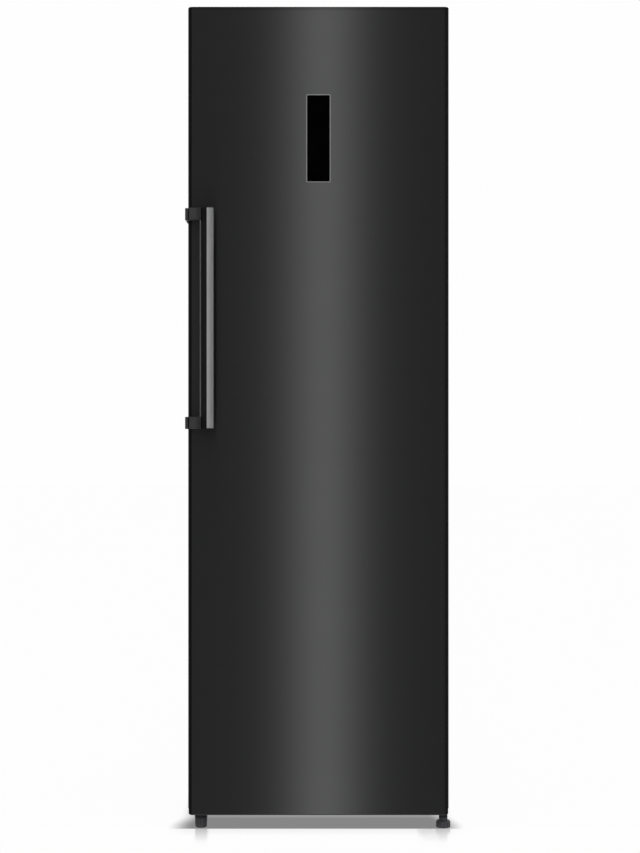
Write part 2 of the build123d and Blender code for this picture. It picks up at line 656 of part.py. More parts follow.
HEATER_Z = FIN_BOTTOM - HEATER_RADIUS - SLIDE_GAP
HEATER_HALF = EVAPORATOR_HALF + EVAPORATOR_TUBE + HEATER_RADIUS + SLIDE_GAP
with BuildPart() as defrost_heater:
    with BuildLine(Plane.XZ.offset(-COIL_Y)) as heater_path:
        FilletPolyline(
            (-HEATER_HALF, HEATER_Z + HEATER_LEG),
            (-HEATER_HALF, HEATER_Z),
            (HEATER_HALF, HEATER_Z),
            (HEATER_HALF, HEATER_Z + HEATER_LEG),
            radius=10.0,
        )
    with BuildSketch(Plane(heater_path.line @ 0, z_dir=heater_path.line % 0)):
        Circle(HEATER_RADIUS)
    sweep()
finish(defrost_heater.part, "defrost_heater")

# Meltwater runs from the duct's floor through the foam to the tray in the bay.
DRAIN_LOW = BAY_CEILING - DRAIN_DROP
with BuildPart() as drain_tube:
    with BuildSketch(Plane.XY.offset(DRAIN_LOW)):
        with Locations((DRAIN_X, DRAIN_Y)):
            Circle(DRAIN_RADIUS)
            Circle(DRAIN_RADIUS - DRAIN_WALL, mode=Mode.SUBTRACT)
    extrude(amount=STEP_TOP - DRAIN_LOW)
    with BuildSketch(Plane.XY.offset(STEP_TOP)):
        with Locations((DRAIN_X, DRAIN_Y)):
            Circle(DRAIN_RADIUS + DRAIN_FLANGE)
            Circle(DRAIN_RADIUS - DRAIN_WALL, mode=Mode.SUBTRACT)
    extrude(amount=DRAIN_WALL)
finish(drain_tube.part, "drain_tube")

# ================================================================ light and sensor
LIGHT_Y = CABINET_FRONT_Y + LIGHT_SETBACK
with BuildPart() as light_cover:
    with BuildSketch(Plane.XY.offset(INNER_TOP - LIGHT_HEIGHT)):
        with Locations((0, LIGHT_Y)):
            RectangleRounded(LIGHT_LENGTH, LIGHT_WIDTH, 6.0)
    extrude(amount=LIGHT_HEIGHT)
    fillet(light_cover.faces().sort_by(Axis.Z)[0].edges(), 2.0)
finish(light_cover.part, "light_cover")

SENSOR_Z = INNER_TOP - 40.0
with BuildPart() as temperature_sensor:
    with BuildSketch(Plane.YZ.offset(-INNER_X)):
        with Locations((CABINET_FRONT_Y + LIGHT_SETBACK, SENSOR_Z)):
            SlotOverall(SENSOR_LENGTH, 2 * SENSOR_RADIUS)
    extrude(amount=SENSOR_RADIUS)
    fillet(temperature_sensor.faces().sort_by(Axis.X)[-1].edges(), 2.0)
finish(temperature_sensor.part, "temperature_sensor")

# ================================================================ compressor bay
BAY_FLOOR = CABINET_BOTTOM + BAY_PLATE
ROLLER_X = HALF_WIDTH - ROLLER_FROM_SIDE
ROLLER_Y = CABINET_REAR_Y - ROLLER_FROM_REAR
FORK_INNER = ROLLER_WIDTH / 2 + 1.0
with BuildPart() as bay_plate:
    add(
        block_between(
            (-ROOF_HALF, BAY_FRONT, CABINET_BOTTOM),
            (ROOF_HALF, CABINET_REAR_Y - BAY_COVER - BAY_COVER_GAP, BAY_FLOOR),
        )
    )
    # Two cheeks below the plate hold each roller's axle.
    for roller_x in (-ROLLER_X, ROLLER_X):
        for cheek in (-FORK_INNER - FORK_SHEET, FORK_INNER):
            with BuildSketch(Plane.YZ.offset(roller_x + cheek)):
                Polygon(
                    (ROLLER_Y - FORK_HALF_TOP, CABINET_BOTTOM),
                    (ROLLER_Y + FORK_HALF_TOP, CABINET_BOTTOM),
                    (ROLLER_Y + FORK_HALF_LOW, ROLLER_RADIUS - FORK_BELOW_AXLE),
                    (ROLLER_Y - FORK_HALF_LOW, ROLLER_RADIUS - FORK_BELOW_AXLE),
                    align=None,
                )
                with Locations((ROLLER_Y, ROLLER_RADIUS)):
                    Circle(AXLE_RADIUS, mode=Mode.SUBTRACT)
            extrude(amount=FORK_SHEET)
finish(bay_plate.part, "bay_plate")

axles = []
for roller_x, label in ((-ROLLER_X, "roller_left"), (ROLLER_X, "roller_right")):
    with BuildPart() as roller:
        with BuildSketch(Plane.YZ.offset(roller_x - ROLLER_WIDTH / 2)):
            with Locations((ROLLER_Y, ROLLER_RADIUS)):
                Circle(ROLLER_RADIUS)
                Circle(AXLE_RADIUS + PIN_GAP, mode=Mode.SUBTRACT)
        extrude(amount=ROLLER_WIDTH)
        fillet(roller.edges().filter_by(GeomType.CIRCLE).group_by(SortBy.RADIUS)[-1], 1.5)
    finish(roller.part, label)
    with BuildPart() as axle:
        with BuildSketch(Plane.YZ.offset(roller_x - FORK_INNER - FORK_SHEET)):
            with Locations((ROLLER_Y, ROLLER_RADIUS)):
                Circle(AXLE_RADIUS)
        extrude(amount=2 * (FORK_INNER + FORK_SHEET))
    axles.append(axle.part.solid())
finish(Compound(children=axles), "roller_axles")

COMPRESSOR_X = HALF_WIDTH - COMPRESSOR_FROM_SIDE
COMPRESSOR_Y = CABINET_REAR_Y - COMPRESSOR_FROM_REAR
MOUNT_TOP = BAY_FLOOR + MOUNT_HEIGHT
SHELL_LOW = MOUNT_TOP + COMPRESSOR_FOOT
SHELL_HIGH = SHELL_LOW + COMPRESSOR_HEIGHT
MOUNT_PLACES = [
    (COMPRESSOR_X + sx * MOUNT_SPREAD_X, COMPRESSOR_Y + sy * MOUNT_SPREAD_Y)
    for sx in (-1, 1)
    for sy in (-1, 1)
]

mounts = []
for place in MOUNT_PLACES:
    with BuildPart() as mount:
        with BuildSketch(Plane.XY.offset(BAY_FLOOR)):
            with Locations(place):
                Circle(MOUNT_RADIUS)
        extrude(amount=MOUNT_HEIGHT)
        groove = mount.faces().sort_by(Axis.Z)
        chamfer(groove[0].edges() + groove[-1].edges(), 1.5)
    mounts.append(mount.part.solid())
finish(Compound(children=mounts), "compressor_mounts")

with BuildPart() as compressor:
    # Foot plate on the rubber mounts.
    with BuildSketch(Plane.XY.offset(MOUNT_TOP)):
        with Locations((COMPRESSOR_X, COMPRESSOR_Y)):
            RectangleRounded(
                2 * (MOUNT_SPREAD_X + MOUNT_RADIUS),
                2 * (MOUNT_SPREAD_Y + MOUNT_RADIUS),
                MOUNT_RADIUS,
            )
    extrude(amount=COMPRESSOR_FOOT)
    # Domed, welded shell.
    with BuildSketch(Plane.XY.offset(SHELL_LOW)):
        with Locations((COMPRESSOR_X, COMPRESSOR_Y)):
            Ellipse(COMPRESSOR_RADIUS, COMPRESSOR_HALF_DEPTH)
    extrude(amount=COMPRESSOR_HEIGHT)
    fillet(compressor.faces().sort_by(Axis.Z)[-1].edges(), COMPRESSOR_DOME)
    # Weld flange round the middle of the shell.
    with BuildSketch(Plane.XY.offset(SHELL_LOW + WELD_FLANGE_UP)):
        with Locations((COMPRESSOR_X, COMPRESSOR_Y)):
            Ellipse(COMPRESSOR_RADIUS + WELD_FLANGE, COMPRESSOR_HALF_DEPTH + WELD_FLANGE)
    extrude(amount=WELD_FLANGE_SHEET)
    # Suction and discharge stubs on the left.
    for stub_y, stub_z in STUB_PLACES:
        with BuildSketch(Plane.YZ.offset(COMPRESSOR_X - COMPRESSOR_RADIUS - STUB_REACH)):
            with Locations((COMPRESSOR_Y + stub_y, SHELL_LOW + stub_z)):
                Circle(STUB_RADIUS)
        extrude(amount=2 * STUB_REACH)
finish(compressor.part, "compressor")

box_width, box_depth, box_height = TERMINAL_BOX
with BuildPart() as terminal_box:
    with BuildSketch(Plane.XY.offset(SHELL_LOW + TERMINAL_BOX_UP)):
        with Locations((COMPRESSOR_X + COMPRESSOR_RADIUS, COMPRESSOR_Y)):
            RectangleRounded(box_width, box_depth, TERMINAL_BOX_CORNER)
    extrude(amount=box_height)
    add(compressor.part, mode=Mode.SUBTRACT)
finish(terminal_box.part.solids().sort_by(Axis.X)[-1], "terminal_box")

tray_width, tray_depth, tray_height = TRAY_SIZE
TRAY_LOW = SHELL_HIGH + SLIDE_GAP
with BuildPart() as drip_tray:
    with BuildSketch(Plane.XY.offset(TRAY_LOW)):
        with Locations((COMPRESSOR_X, COMPRESSOR_Y)):
            RectangleRounded(tray_width, tray_depth, TRAY_CORNER)
    extrude(amount=tray_height)
    with BuildSketch(Plane.XY.offset(TRAY_LOW + TRAY_WALL)):
        with Locations((COMPRESSOR_X, COMPRESSOR_Y)):
            RectangleRounded(
                tray_width - 2 * TRAY_WALL, tray_depth - 2 * TRAY_WALL, TRAY_CORNER - TRAY_WALL
            )
    extrude(amount=tray_height, mode=Mode.SUBTRACT)
finish(drip_tray.part, "drip_tray")

# Condenser: one tube folded to and fro, standing on two legs on the bay's plate.
CONDENSER_X = -HALF_WIDTH + COIL_FROM_SIDE
CONDENSER_LOW = BAY_FLOOR + COIL_TUBE
CONDENSER_TOP = CONDENSER_LOW + (COIL_PASSES - 1) * COIL_PITCH
CONDENSER_Y = CABINET_REAR_Y - CONDENSER_FROM_REAR
DRIER_RIGHT = CONDENSER_X - COIL_WIDTH / 2 + 1.0
condenser_points = serpentine(
    COIL_WIDTH / 2, CONDENSER_TOP, COIL_PITCH, COIL_PASSES, CONDENSER_X
)
with BuildPart() as condenser_coil:
    with BuildLine(Plane.XZ.offset(-CONDENSER_Y)) as condenser_path:
        FilletPolyline(*condenser_points, radius=COIL_PITCH / 2 - 0.5)
    with BuildSketch(Plane(condenser_path.line @ 0, z_dir=condenser_path.line % 0)):
        Circle(COIL_TUBE)
    sweep()
    # Filter drier: a copper pot with necked ends, brazed on the tube's upper end.
    with BuildSketch(Plane.XZ.offset(-CONDENSER_Y)):
        with BuildLine():
            Polyline(
                (DRIER_RIGHT, CONDENSER_TOP),
                (DRIER_RIGHT, CONDENSER_TOP + COIL_TUBE),
                (DRIER_RIGHT - DRIER_NECK / 2, CONDENSER_TOP + COIL_TUBE),
                (DRIER_RIGHT - DRIER_NECK, CONDENSER_TOP + DRIER_RADIUS),
                (DRIER_RIGHT - DRIER_LENGTH + DRIER_NECK, CONDENSER_TOP + DRIER_RADIUS),
                (DRIER_RIGHT - DRIER_LENGTH + DRIER_NECK / 2, CONDENSER_TOP + COIL_TUBE),
                (DRIER_RIGHT - DRIER_LENGTH, CONDENSER_TOP + COIL_TUBE),
                (DRIER_RIGHT - DRIER_LENGTH, CONDENSER_TOP),
                close=True,
            )
        make_face()
    revolve(axis=Axis((0, CONDENSER_Y, CONDENSER_TOP), (1, 0, 0)))
finish(condenser_coil.part, "condenser_coil")

control_width, control_depth, control_height = CONTROL_BOX
CONTROL_X = -HALF_WIDTH + CONTROL_BOX_FROM_SIDE
with BuildPart() as control_box:
    with BuildSketch(Plane.XY.offset(BAY_FLOOR)):
        with Locations((CONTROL_X, BAY_FRONT + control_depth / 2 + CONTROL_BOX_GAP)):
            RectangleRounded(control_width, control_depth, 4.0)
    extrude(amount=control_height)
    fillet(control_box.faces().sort_by(Axis.Z)[-1].edges(), 2.0)
finish(control_box.part, "control_box")

GLAND_X = -HALF_WIDTH + GLAND_FROM_SIDE
GLAND_Z = CABINET_BOTTOM + GLAND_HEIGHT
COVER_FRONT = CABINET_REAR_Y - BAY_COVER
COVER_HALF = ROOF_HALF - BAY_COVER_GAP
with BuildPart() as bay_cover:
    add(
        block_between(
            (-COVER_HALF, COVER_FRONT, CABINET_BOTTOM + BAY_COVER_GAP),
            (COVER_HALF, CABINET_REAR_Y, BAY_CEILING - BAY_COVER_GAP),
        )
    )
    with BuildSketch(Plane.XZ.offset(-CABINET_REAR_Y)):
        with Locations((VENT_PITCH_X / 2, (CABINET_BOTTOM + BAY_CEILING) / 2)):
            with GridLocations(VENT_PITCH_X, VENT_PITCH_Z, 4, VENT_ROWS):
                SlotOverall(VENT_LENGTH, VENT_HEIGHT)
        with Locations((GLAND_X, GLAND_Z)):
            Circle(GLAND_RADIUS - GLAND_LIP)
    extrude(amount=BAY_COVER, mode=Mode.SUBTRACT)
finish(bay_cover.part, "bay_cover")

with BuildPart() as cord_gland:
    with BuildSketch(Plane.XZ.offset(-COVER_FRONT)):
        with Locations((GLAND_X, GLAND_Z)):
            Circle(GLAND_RADIUS)
    extrude(amount=GLAND_FLANGE)
    with BuildSketch(Plane.XZ.offset(-CABINET_REAR_Y)):
        with Locations((GLAND_X, GLAND_Z)):
            Circle(GLAND_RADIUS - GLAND_LIP)
    extrude(amount=BAY_COVER)
    with BuildSketch(Plane.XZ.offset(-CABINET_REAR_Y)):
        with Locations((GLAND_X, GLAND_Z)):
            Circle(GLAND_BORE)
    extrude(amount=BAY_COVER + GLAND_FLANGE, mode=Mode.SUBTRACT)
finish(cord_gland.part, "cord_gland")


# ================================================================ door
def door_outline(inset, front_y, rear_y, roll):
    """Door section seen from above: square at the back, rolled at both front edges."""
    half = HALF_WIDTH - inset
    corners = [(-half, rear_y), (-half, front_y), (half, front_y), (half, rear_y)]
    with BuildLine() as outline:
        FilletPolyline(*corners, radius=[0, roll, roll, 0], close=True)
    return make_face(outline.edges())


PANEL_LOW = DOOR_BOTTOM + BOTTOM_CAP
NOTCH_WIDTH_LEFT = ARM_HALF + NOTCH_CLEARANCE
open_turn = math.radians(DOOR_OPEN_ANGLE - 90.0)
# Front side of the notch: where the arm's edge leaves the door's side, fully open.
NOTCH_FRONT = (
    HINGE_Y
    - HINGE_FROM_SIDE * math.tan(open_turn)
    - (ARM_HALF + NOTCH_CLEARANCE) / math.cos(open_turn)
)
with BuildPart() as hinge_notch:
    with BuildSketch(Plane.XY.offset(NOTCH_FLOOR)):
        Polygon(
            (HINGE_X - NOTCH_WIDTH_LEFT, DOOR_REAR_Y + 1.0),
            (HINGE_X - NOTCH_WIDTH_LEFT, NOTCH_FRONT),
            (HALF_WIDTH + 1.0, NOTCH_FRONT),
            (HALF_WIDTH + 1.0, DOOR_REAR_Y + 1.0),
            align=None,
        )
    extrude(amount=OVERALL_HEIGHT)

WINDOW_Y = DOOR_FRONT_Y + WINDOW_RECESS
OPENING_WIDTH = WINDOW_WIDTH + 2 * BEZEL_WALL
OPENING_HEIGHT = WINDOW_HEIGHT + 2 * BEZEL_WALL
OPENING_CORNER = WINDOW_CORNER + BEZEL_WALL
RIM_WIDTH = WINDOW_WIDTH + 2 * BEZEL_RIM
RIM_HEIGHT = WINDOW_HEIGHT + 2 * BEZEL_RIM
RIM_CORNER = WINDOW_CORNER + BEZEL_RIM

with BuildPart() as door_panel:
    with BuildSketch(Plane.XY.offset(PANEL_LOW)):
        add(door_outline(0.0, DOOR_FRONT_Y, DOOR_REAR_Y, EDGE_ROLL))
        add(
            door_outline(SHEET, DOOR_FRONT_Y + SHEET, DOOR_REAR_Y + SHEET, EDGE_ROLL - SHEET),
            mode=Mode.SUBTRACT,
        )
    extrude(amount=OVERALL_HEIGHT - PANEL_LOW)
    # Rounded upper corners, seen from the front.
    with BuildSketch(Plane.XZ.offset(-DOOR_REAR_Y - 1.0)):
        with BuildLine():
            FilletPolyline(
                (-HALF_WIDTH, PANEL_LOW),
                (-HALF_WIDTH, OVERALL_HEIGHT),
                (HALF_WIDTH, OVERALL_HEIGHT),
                (HALF_WIDTH, PANEL_LOW),
                radius=[0, TOP_CORNER, TOP_CORNER, 0],
                close=True,
            )
        make_face()
    extrude(amount=DOOR_THICKNESS + 2.0, mode=Mode.INTERSECT)
    add(hinge_notch.part, mode=Mode.SUBTRACT)
    # Opening for the display.
    with BuildSketch(Plane.XZ.offset(-DOOR_FRONT_Y)):
        with Locations((0, WINDOW_CENTRE_Z)):
            RectangleRounded(OPENING_WIDTH, OPENING_HEIGHT, OPENING_CORNER)
    extrude(amount=-SHEET, mode=Mode.SUBTRACT)
    # Lower corners cut back, so that the steel doesn't end in two sharp points.
    for side in (-1, 1):
        with Locations((side * HALF_WIDTH, (DOOR_FRONT_Y + DOOR_REAR_Y) / 2, PANEL_LOW)):
            Box(2 * BOTTOM_CAP_INSET, 2 * DOOR_THICKNESS, 2 * HEM_NOTCH, mode=Mode.SUBTRACT)
finish(door_panel.part, "door_panel")

CAP_TOP = OVERALL_HEIGHT - TOP_CAP_RECESS
CAP_LOW = OVERALL_HEIGHT - TOP_CAP_HEIGHT
BOSS_LEFT = HINGE_X - 2 * NOTCH_WIDTH_LEFT
BUSH_RADIUS = HINGE_PIN_RADIUS + PIN_GAP + BUSH_WALL
PLUG_INSET = SHEET
with BuildPart() as door_top_cap:
    with BuildSketch(Plane.XY.offset(CAP_LOW)):
        add(
            door_outline(
                PLUG_INSET, DOOR_FRONT_Y + SHEET, DOOR_REAR_Y, EDGE_ROLL - SHEET
            )
        )
    extrude(amount=CAP_TOP - CAP_LOW)
    # Hollow below, except at the hinge corner.
    pocket_low = (
        -HALF_WIDTH + SHEET + TOP_CAP_WALL, DOOR_FRONT_Y + EDGE_ROLL, CAP_LOW - 1.0
    )
    pocket_high = (BOSS_LEFT, DOOR_REAR_Y - TOP_CAP_WALL, CAP_TOP - TOP_CAP_WALL)
    add(block_between(pocket_low, pocket_high), mode=Mode.SUBTRACT)
    add(hinge_notch.part, mode=Mode.SUBTRACT)
    with BuildSketch(Plane.XY.offset(NOTCH_FLOOR - BUSH_LENGTH)):
        with Locations((HINGE_X, HINGE_Y)):
            Circle(BUSH_RADIUS)
    extrude(amount=BUSH_LENGTH, mode=Mode.SUBTRACT)
    # Upper corners follow the panel's rounded corners.
    with BuildSketch(Plane.XZ.offset(-DOOR_REAR_Y - 1.0)):
        with BuildLine():
            FilletPolyline(
                (-HALF_WIDTH + SHEET, CAP_LOW),
                (-HALF_WIDTH + SHEET, OVERALL_HEIGHT - SHEET),
                (HALF_WIDTH - SHEET, OVERALL_HEIGHT - SHEET),
                (HALF_WIDTH - SHEET, CAP_LOW),
                radius=[0, TOP_CORNER, TOP_CORNER, 0],
                close=True,
            )
        make_face()
    extrude(amount=DOOR_THICKNESS + 2.0, mode=Mode.INTERSECT)
finish(door_top_cap.part, "door_top_cap")

with BuildPart() as door_bottom_cap:
    with BuildSketch(Plane.XY.offset(DOOR_BOTTOM)):
        add(
            door_outline(
                BOTTOM_CAP_INSET,
                DOOR_FRONT_Y + BOTTOM_CAP_INSET,
                DOOR_REAR_Y,
                EDGE_ROLL - BOTTOM_CAP_INSET,
            )
        )
    extrude(amount=BOTTOM_CAP)
    with BuildSketch(Plane.XY.offset(PANEL_LOW)):
        add(
            door_outline(
                PLUG_INSET, DOOR_FRONT_Y + SHEET, DOOR_REAR_Y - LINER_SHEET, EDGE_ROLL - SHEET
            )
        )
    extrude(amount=CAP_PLUG)
    chamfer(door_bottom_cap.faces().sort_by(Axis.Z)[0].edges().sort_by(Axis.Y)[0], BOTTOM_CAP_CHAMFER)
    with BuildSketch(Plane.XY.offset(DOOR_BOTTOM)):
        with Locations((HINGE_X, HINGE_Y)):
            Circle(BUSH_RADIUS)
    extrude(amount=BUSH_LENGTH, mode=Mode.SUBTRACT)
finish(door_bottom_cap.part, "door_bottom_cap")

bushes = []
for bush_low in (DOOR_BOTTOM, NOTCH_FLOOR - BUSH_LENGTH):
    with BuildPart() as bush:
        with BuildSketch(Plane.XY.offset(bush_low)):
            with Locations((HINGE_X, HINGE_Y)):
                Circle(BUSH_RADIUS)
                Circle(HINGE_PIN_RADIUS + PIN_GAP, mode=Mode.SUBTRACT)
        extrude(amount=BUSH_LENGTH)
    bushes.append(bush.part.solid())
finish(Compound(children=bushes), "hinge_bushes")

# Inner liner of the door: a flat sheet with a raised field inside the seal.
LINER_LOW = PANEL_LOW
LINER_HIGH = CAP_LOW
LINER_BACK = DOOR_REAR_Y
LINER_MIDDLE = (LINER_LOW + LINER_HIGH) / 2
SEAL_OUTER_X = HALF_WIDTH - SEAL_CENTRE_IN + SEAL_WIDTH / 2
SEAL_LOW = CABINET_BOTTOM + SEAL_CENTRE_IN - SEAL_WIDTH / 2
SEAL_HIGH = CABINET_TOP - SEAL_CENTRE_IN + SEAL_WIDTH / 2
FIELD_HALF = SEAL_OUTER_X - SEAL_WIDTH - LINER_FIELD_MARGIN
FIELD_LOW = SEAL_LOW + SEAL_WIDTH + LINER_FIELD_MARGIN
FIELD_HIGH = SEAL_HIGH - SEAL_WIDTH - LINER_FIELD_MARGIN
FIELD_MIDDLE = (FIELD_LOW + FIELD_HIGH) / 2
with BuildPart() as door_liner:
    with BuildSketch(Plane.XZ.offset(-LINER_BACK)):
        with Locations((0, LINER_MIDDLE)):
            Rectangle(2 * (HALF_WIDTH - SHEET), LINER_HIGH - LINER_LOW)
    extrude(amount=LINER_SHEET)
    with BuildSketch(Plane.XZ.offset(-LINER_BACK)):
        with Locations((0, FIELD_MIDDLE)):
            RectangleRounded(2 * FIELD_HALF, FIELD_HIGH - FIELD_LOW, 20.0)
    extrude(amount=-LINER_RISE, taper=20)
    with BuildSketch(Plane.XZ.offset(-(LINER_BACK - LINER_SHEET))):
        with Locations((0, FIELD_MIDDLE)):
            RectangleRounded(
                2 * (FIELD_HALF - LINER_SHEET), FIELD_HIGH - FIELD_LOW - 2 * LINER_SHEET, 19.0
            )
    extrude(amount=-LINER_RISE, taper=20, mode=Mode.SUBTRACT)
finish(door_liner.part, "door_liner")

with BuildPart() as display_bezel:
    with BuildSketch(Plane.XZ.offset(-(DOOR_FRONT_Y - BEZEL_PROUD))):
        with Locations((0, WINDOW_CENTRE_Z)):
            RectangleRounded(RIM_WIDTH, RIM_HEIGHT, RIM_CORNER)
    extrude(amount=-BEZEL_PROUD)
    with BuildSketch(Plane.XZ.offset(-DOOR_FRONT_Y)):
        with Locations((0, WINDOW_CENTRE_Z)):
            RectangleRounded(OPENING_WIDTH, OPENING_HEIGHT, OPENING_CORNER)
    extrude(amount=-BEZEL_DEPTH)
    with BuildSketch(Plane.XZ.offset(-(DOOR_FRONT_Y - BEZEL_PROUD))):
        with Locations((0, WINDOW_CENTRE_Z)):
            RectangleRounded(WINDOW_WIDTH, WINDOW_HEIGHT, WINDOW_CORNER)
    extrude(amount=-(BEZEL_DEPTH + BEZEL_PROUD - BEZEL_FLOOR), mode=Mode.SUBTRACT)
finish(display_bezel.part, "display_bezel")

with BuildPart() as display_window:
    with BuildSketch(Plane.XZ.offset(-WINDOW_Y)):
        with Locations((0, WINDOW_CENTRE_Z)):
            RectangleRounded(WINDOW_WIDTH, WINDOW_HEIGHT, WINDOW_CORNER)
    extrude(amount=-WINDOW_GLASS)
finish(display_window.part, "display_window")

BOARD_Y = DOOR_FRONT_Y + BEZEL_DEPTH - BEZEL_FLOOR - BOARD_THICKNESS
with BuildPart() as display_board:
    with BuildSketch(Plane.XZ.offset(-BOARD_Y)):
        with Locations((0, WINDOW_CENTRE_Z)):
            RectangleRounded(
                WINDOW_WIDTH - 2 * BOARD_GAP, WINDOW_HEIGHT - 2 * BOARD_GAP, WINDOW_CORNER
            )
    extrude(amount=-BOARD_THICKNESS)
    # Row of lamps and touch springs between the board and the window.
    with BuildSketch(Plane.XZ.offset(-(WINDOW_Y + WINDOW_GLASS + SLIDE_GAP))):
        with Locations((0, WINDOW_CENTRE_Z)):
            with GridLocations(0, 30.0, 1, 6):
                Rectangle(12.0, 12.0)
    extrude(amount=-(BOARD_Y - WINDOW_Y - WINDOW_GLASS - SLIDE_GAP))
finish(display_board.part, "display_board")

with BuildPart() as door_foam:
    with BuildSketch(Plane.XY.offset(PANEL_LOW + CAP_PLUG)):
        add(
            door_outline(
                SHEET, DOOR_FRONT_Y + SHEET, DOOR_REAR_Y - LINER_SHEET, EDGE_ROLL - SHEET
            )
        )
    extrude(amount=CAP_LOW - PANEL_LOW - CAP_PLUG)
    with BuildSketch(Plane.XZ.offset(-(LINER_BACK - LINER_SHEET))):
        with Locations((0, FIELD_MIDDLE)):
            RectangleRounded(
                2 * (FIELD_HALF - LINER_SHEET), FIELD_HIGH - FIELD_LOW - 2 * LINER_SHEET, 19.0
            )
    extrude(amount=-LINER_RISE, taper=20)
    with BuildSketch(Plane.XZ.offset(-DOOR_FRONT_Y)):
        with Locations((0, WINDOW_CENTRE_Z)):
            RectangleRounded(OPENING_WIDTH, OPENING_HEIGHT, OPENING_CORNER)
    extrude(amount=-BEZEL_DEPTH, mode=Mode.SUBTRACT)
finish(door_foam.part, "door_foam")

# Magnetic seal: a dart pressed on the liner and a bellows up to the body's frame.
SEAL_HALF_OUT = SEAL_OUTER_X
SEAL_HALF_HEIGHT = (SEAL_HIGH - SEAL_LOW) / 2
SEAL_MIDDLE = (SEAL_HIGH + SEAL_LOW) / 2
SEAL_TIP = CABINET_FRONT_Y - SEAL_CLEARANCE
with BuildPart() as door_seal:
    with BuildSketch(Plane.XZ.offset(-LINER_BACK)):
        with Locations((0, SEAL_MIDDLE)):
            RectangleRounded(2 * SEAL_HALF_OUT, 2 * SEAL_HALF_HEIGHT, 6.0)
            RectangleRounded(
                2 * (SEAL_HALF_OUT - SEAL_WIDTH), 2 * (SEAL_HALF_HEIGHT - SEAL_WIDTH), 2.0,
                mode=Mode.SUBTRACT,
            )
    extrude(amount=-SEAL_FOOT)
    with BuildSketch(Plane.XZ.offset(-(LINER_BACK + SEAL_FOOT))):
        with Locations((0, SEAL_MIDDLE)):
            RectangleRounded(2 * (SEAL_HALF_OUT - 3.0), 2 * (SEAL_HALF_HEIGHT - 3.0), 5.0)
            RectangleRounded(
                2 * (SEAL_HALF_OUT - SEAL_WIDTH + 3.0),
                2 * (SEAL_HALF_HEIGHT - SEAL_WIDTH + 3.0), 3.0,
                mode=Mode.SUBTRACT,
            )
    extrude(amount=-(SEAL_TIP - 3.0 - LINER_BACK - SEAL_FOOT))
    with BuildSketch(Plane.XZ.offset(-(SEAL_TIP - 3.0))):
        with Locations((0, SEAL_MIDDLE)):
            RectangleRounded(2 * SEAL_HALF_OUT, 2 * SEAL_HALF_HEIGHT, 6.0)
            RectangleRounded(
                2 * (SEAL_HALF_OUT - SEAL_WIDTH), 2 * (SEAL_HALF_HEIGHT - SEAL_WIDTH), 2.0,
                mode=Mode.SUBTRACT,
            )
    extrude(amount=-3.0)
finish(door_seal.part, "door_seal")

# ================================================================ handle
BAR_RIGHT = -HALF_WIDTH + BAR_RIGHT_FROM_SIDE
BAR_STEP = BAR_RIGHT - BAR_FACE
BAR_LEFT = BAR_RIGHT - BAR_WIDTH
BAR_FRONT = DOOR_FRONT_Y - HANDLE_REACH
BAR_BACK = BAR_FRONT + BAR_DEPTH
BAR_LOW = BAR_CENTRE_Z - BAR_LENGTH / 2
BAR_HIGH = BAR_CENTRE_Z + BAR_LENGTH / 2
FACE_LEFT = (BAR_STEP + BAR_CHAMFER, BAR_FRONT + BAR_CROWN)
FACE_RIGHT = (BAR_RIGHT - BAR_ROUND, BAR_FRONT + BAR_CROWN)
FLANK_TOP = (BAR_STEP, BAR_FRONT + BAR_CROWN + BAR_CHAMFER)
FLANK_CREST = (BAR_STEP - BAR_CREST, FLANK_TOP[1] + BAR_CREST)
FLANK_FOOT = (BAR_LEFT + BAR_LIP, BAR_BACK - BAR_EDGE)


def hollow_arc(start, end, sag):
    """An arc between two points of the bar's flank, pressed in to the right by its sag."""
    run = (end[0] - start[0], end[1] - start[1])
    length = math.hypot(*run)
    middle = ((start[0] + end[0]) / 2, (start[1] + end[1]) / 2)
    pressed = (middle[0] + sag * run[1] / length, middle[1] - sag * run[0] / length)
    return ThreePointArc(start, pressed, end)


with BuildPart() as handle_bar:
    with BuildSketch(Plane.XY.offset(BAR_LOW)):
        with BuildLine():
            # Crowned bright face with a small chamfer on its left.
            ThreePointArc(FACE_LEFT, ((BAR_STEP + BAR_RIGHT) / 2, BAR_FRONT), FACE_RIGHT)
            turn = (BAR_RIGHT, FACE_RIGHT[1] + BAR_ROUND)
            RadiusArc(FACE_RIGHT, turn, BAR_ROUND)
            Line(turn, (BAR_RIGHT, BAR_BACK - BAR_GRIP_ROUND))
            RadiusArc(
                (BAR_RIGHT, BAR_BACK - BAR_GRIP_ROUND),
                (BAR_RIGHT - BAR_GRIP_ROUND, BAR_BACK),
                BAR_GRIP_ROUND,
            )
            Line((BAR_RIGHT - BAR_GRIP_ROUND, BAR_BACK), (BAR_LEFT + 1.0, BAR_BACK))
            RadiusArc((BAR_LEFT + 1.0, BAR_BACK), (BAR_LEFT, BAR_BACK - 1.0), 1.0)
            # Narrow lip, then the hollow flank in two arcs that meet in a crest.
            Line((BAR_LEFT, BAR_BACK - 1.0), (BAR_LEFT, BAR_BACK - BAR_EDGE))
            Line((BAR_LEFT, BAR_BACK - BAR_EDGE), FLANK_FOOT)
            hollow_arc(FLANK_FOOT, FLANK_CREST, BAR_HOLLOW)
            hollow_arc(FLANK_CREST, FLANK_TOP, BAR_HOLLOW / 2)
            Line(FLANK_TOP, FACE_LEFT)
        make_face()
    extrude(amount=BAR_LENGTH)
finish(handle_bar.part, "handle_bar")

ARM_FRONT = BAR_BACK - BRACKET_BITE
ARM_BACK = ARM_FRONT + BRACKET_ARM
FOOT_OUT = -HALF_WIDTH - BRACKET_FOOT
SCREW_Y = DOOR_FRONT_Y + BRACKET_FOOT_REACH - HANDLE_SCREW_SETBACK


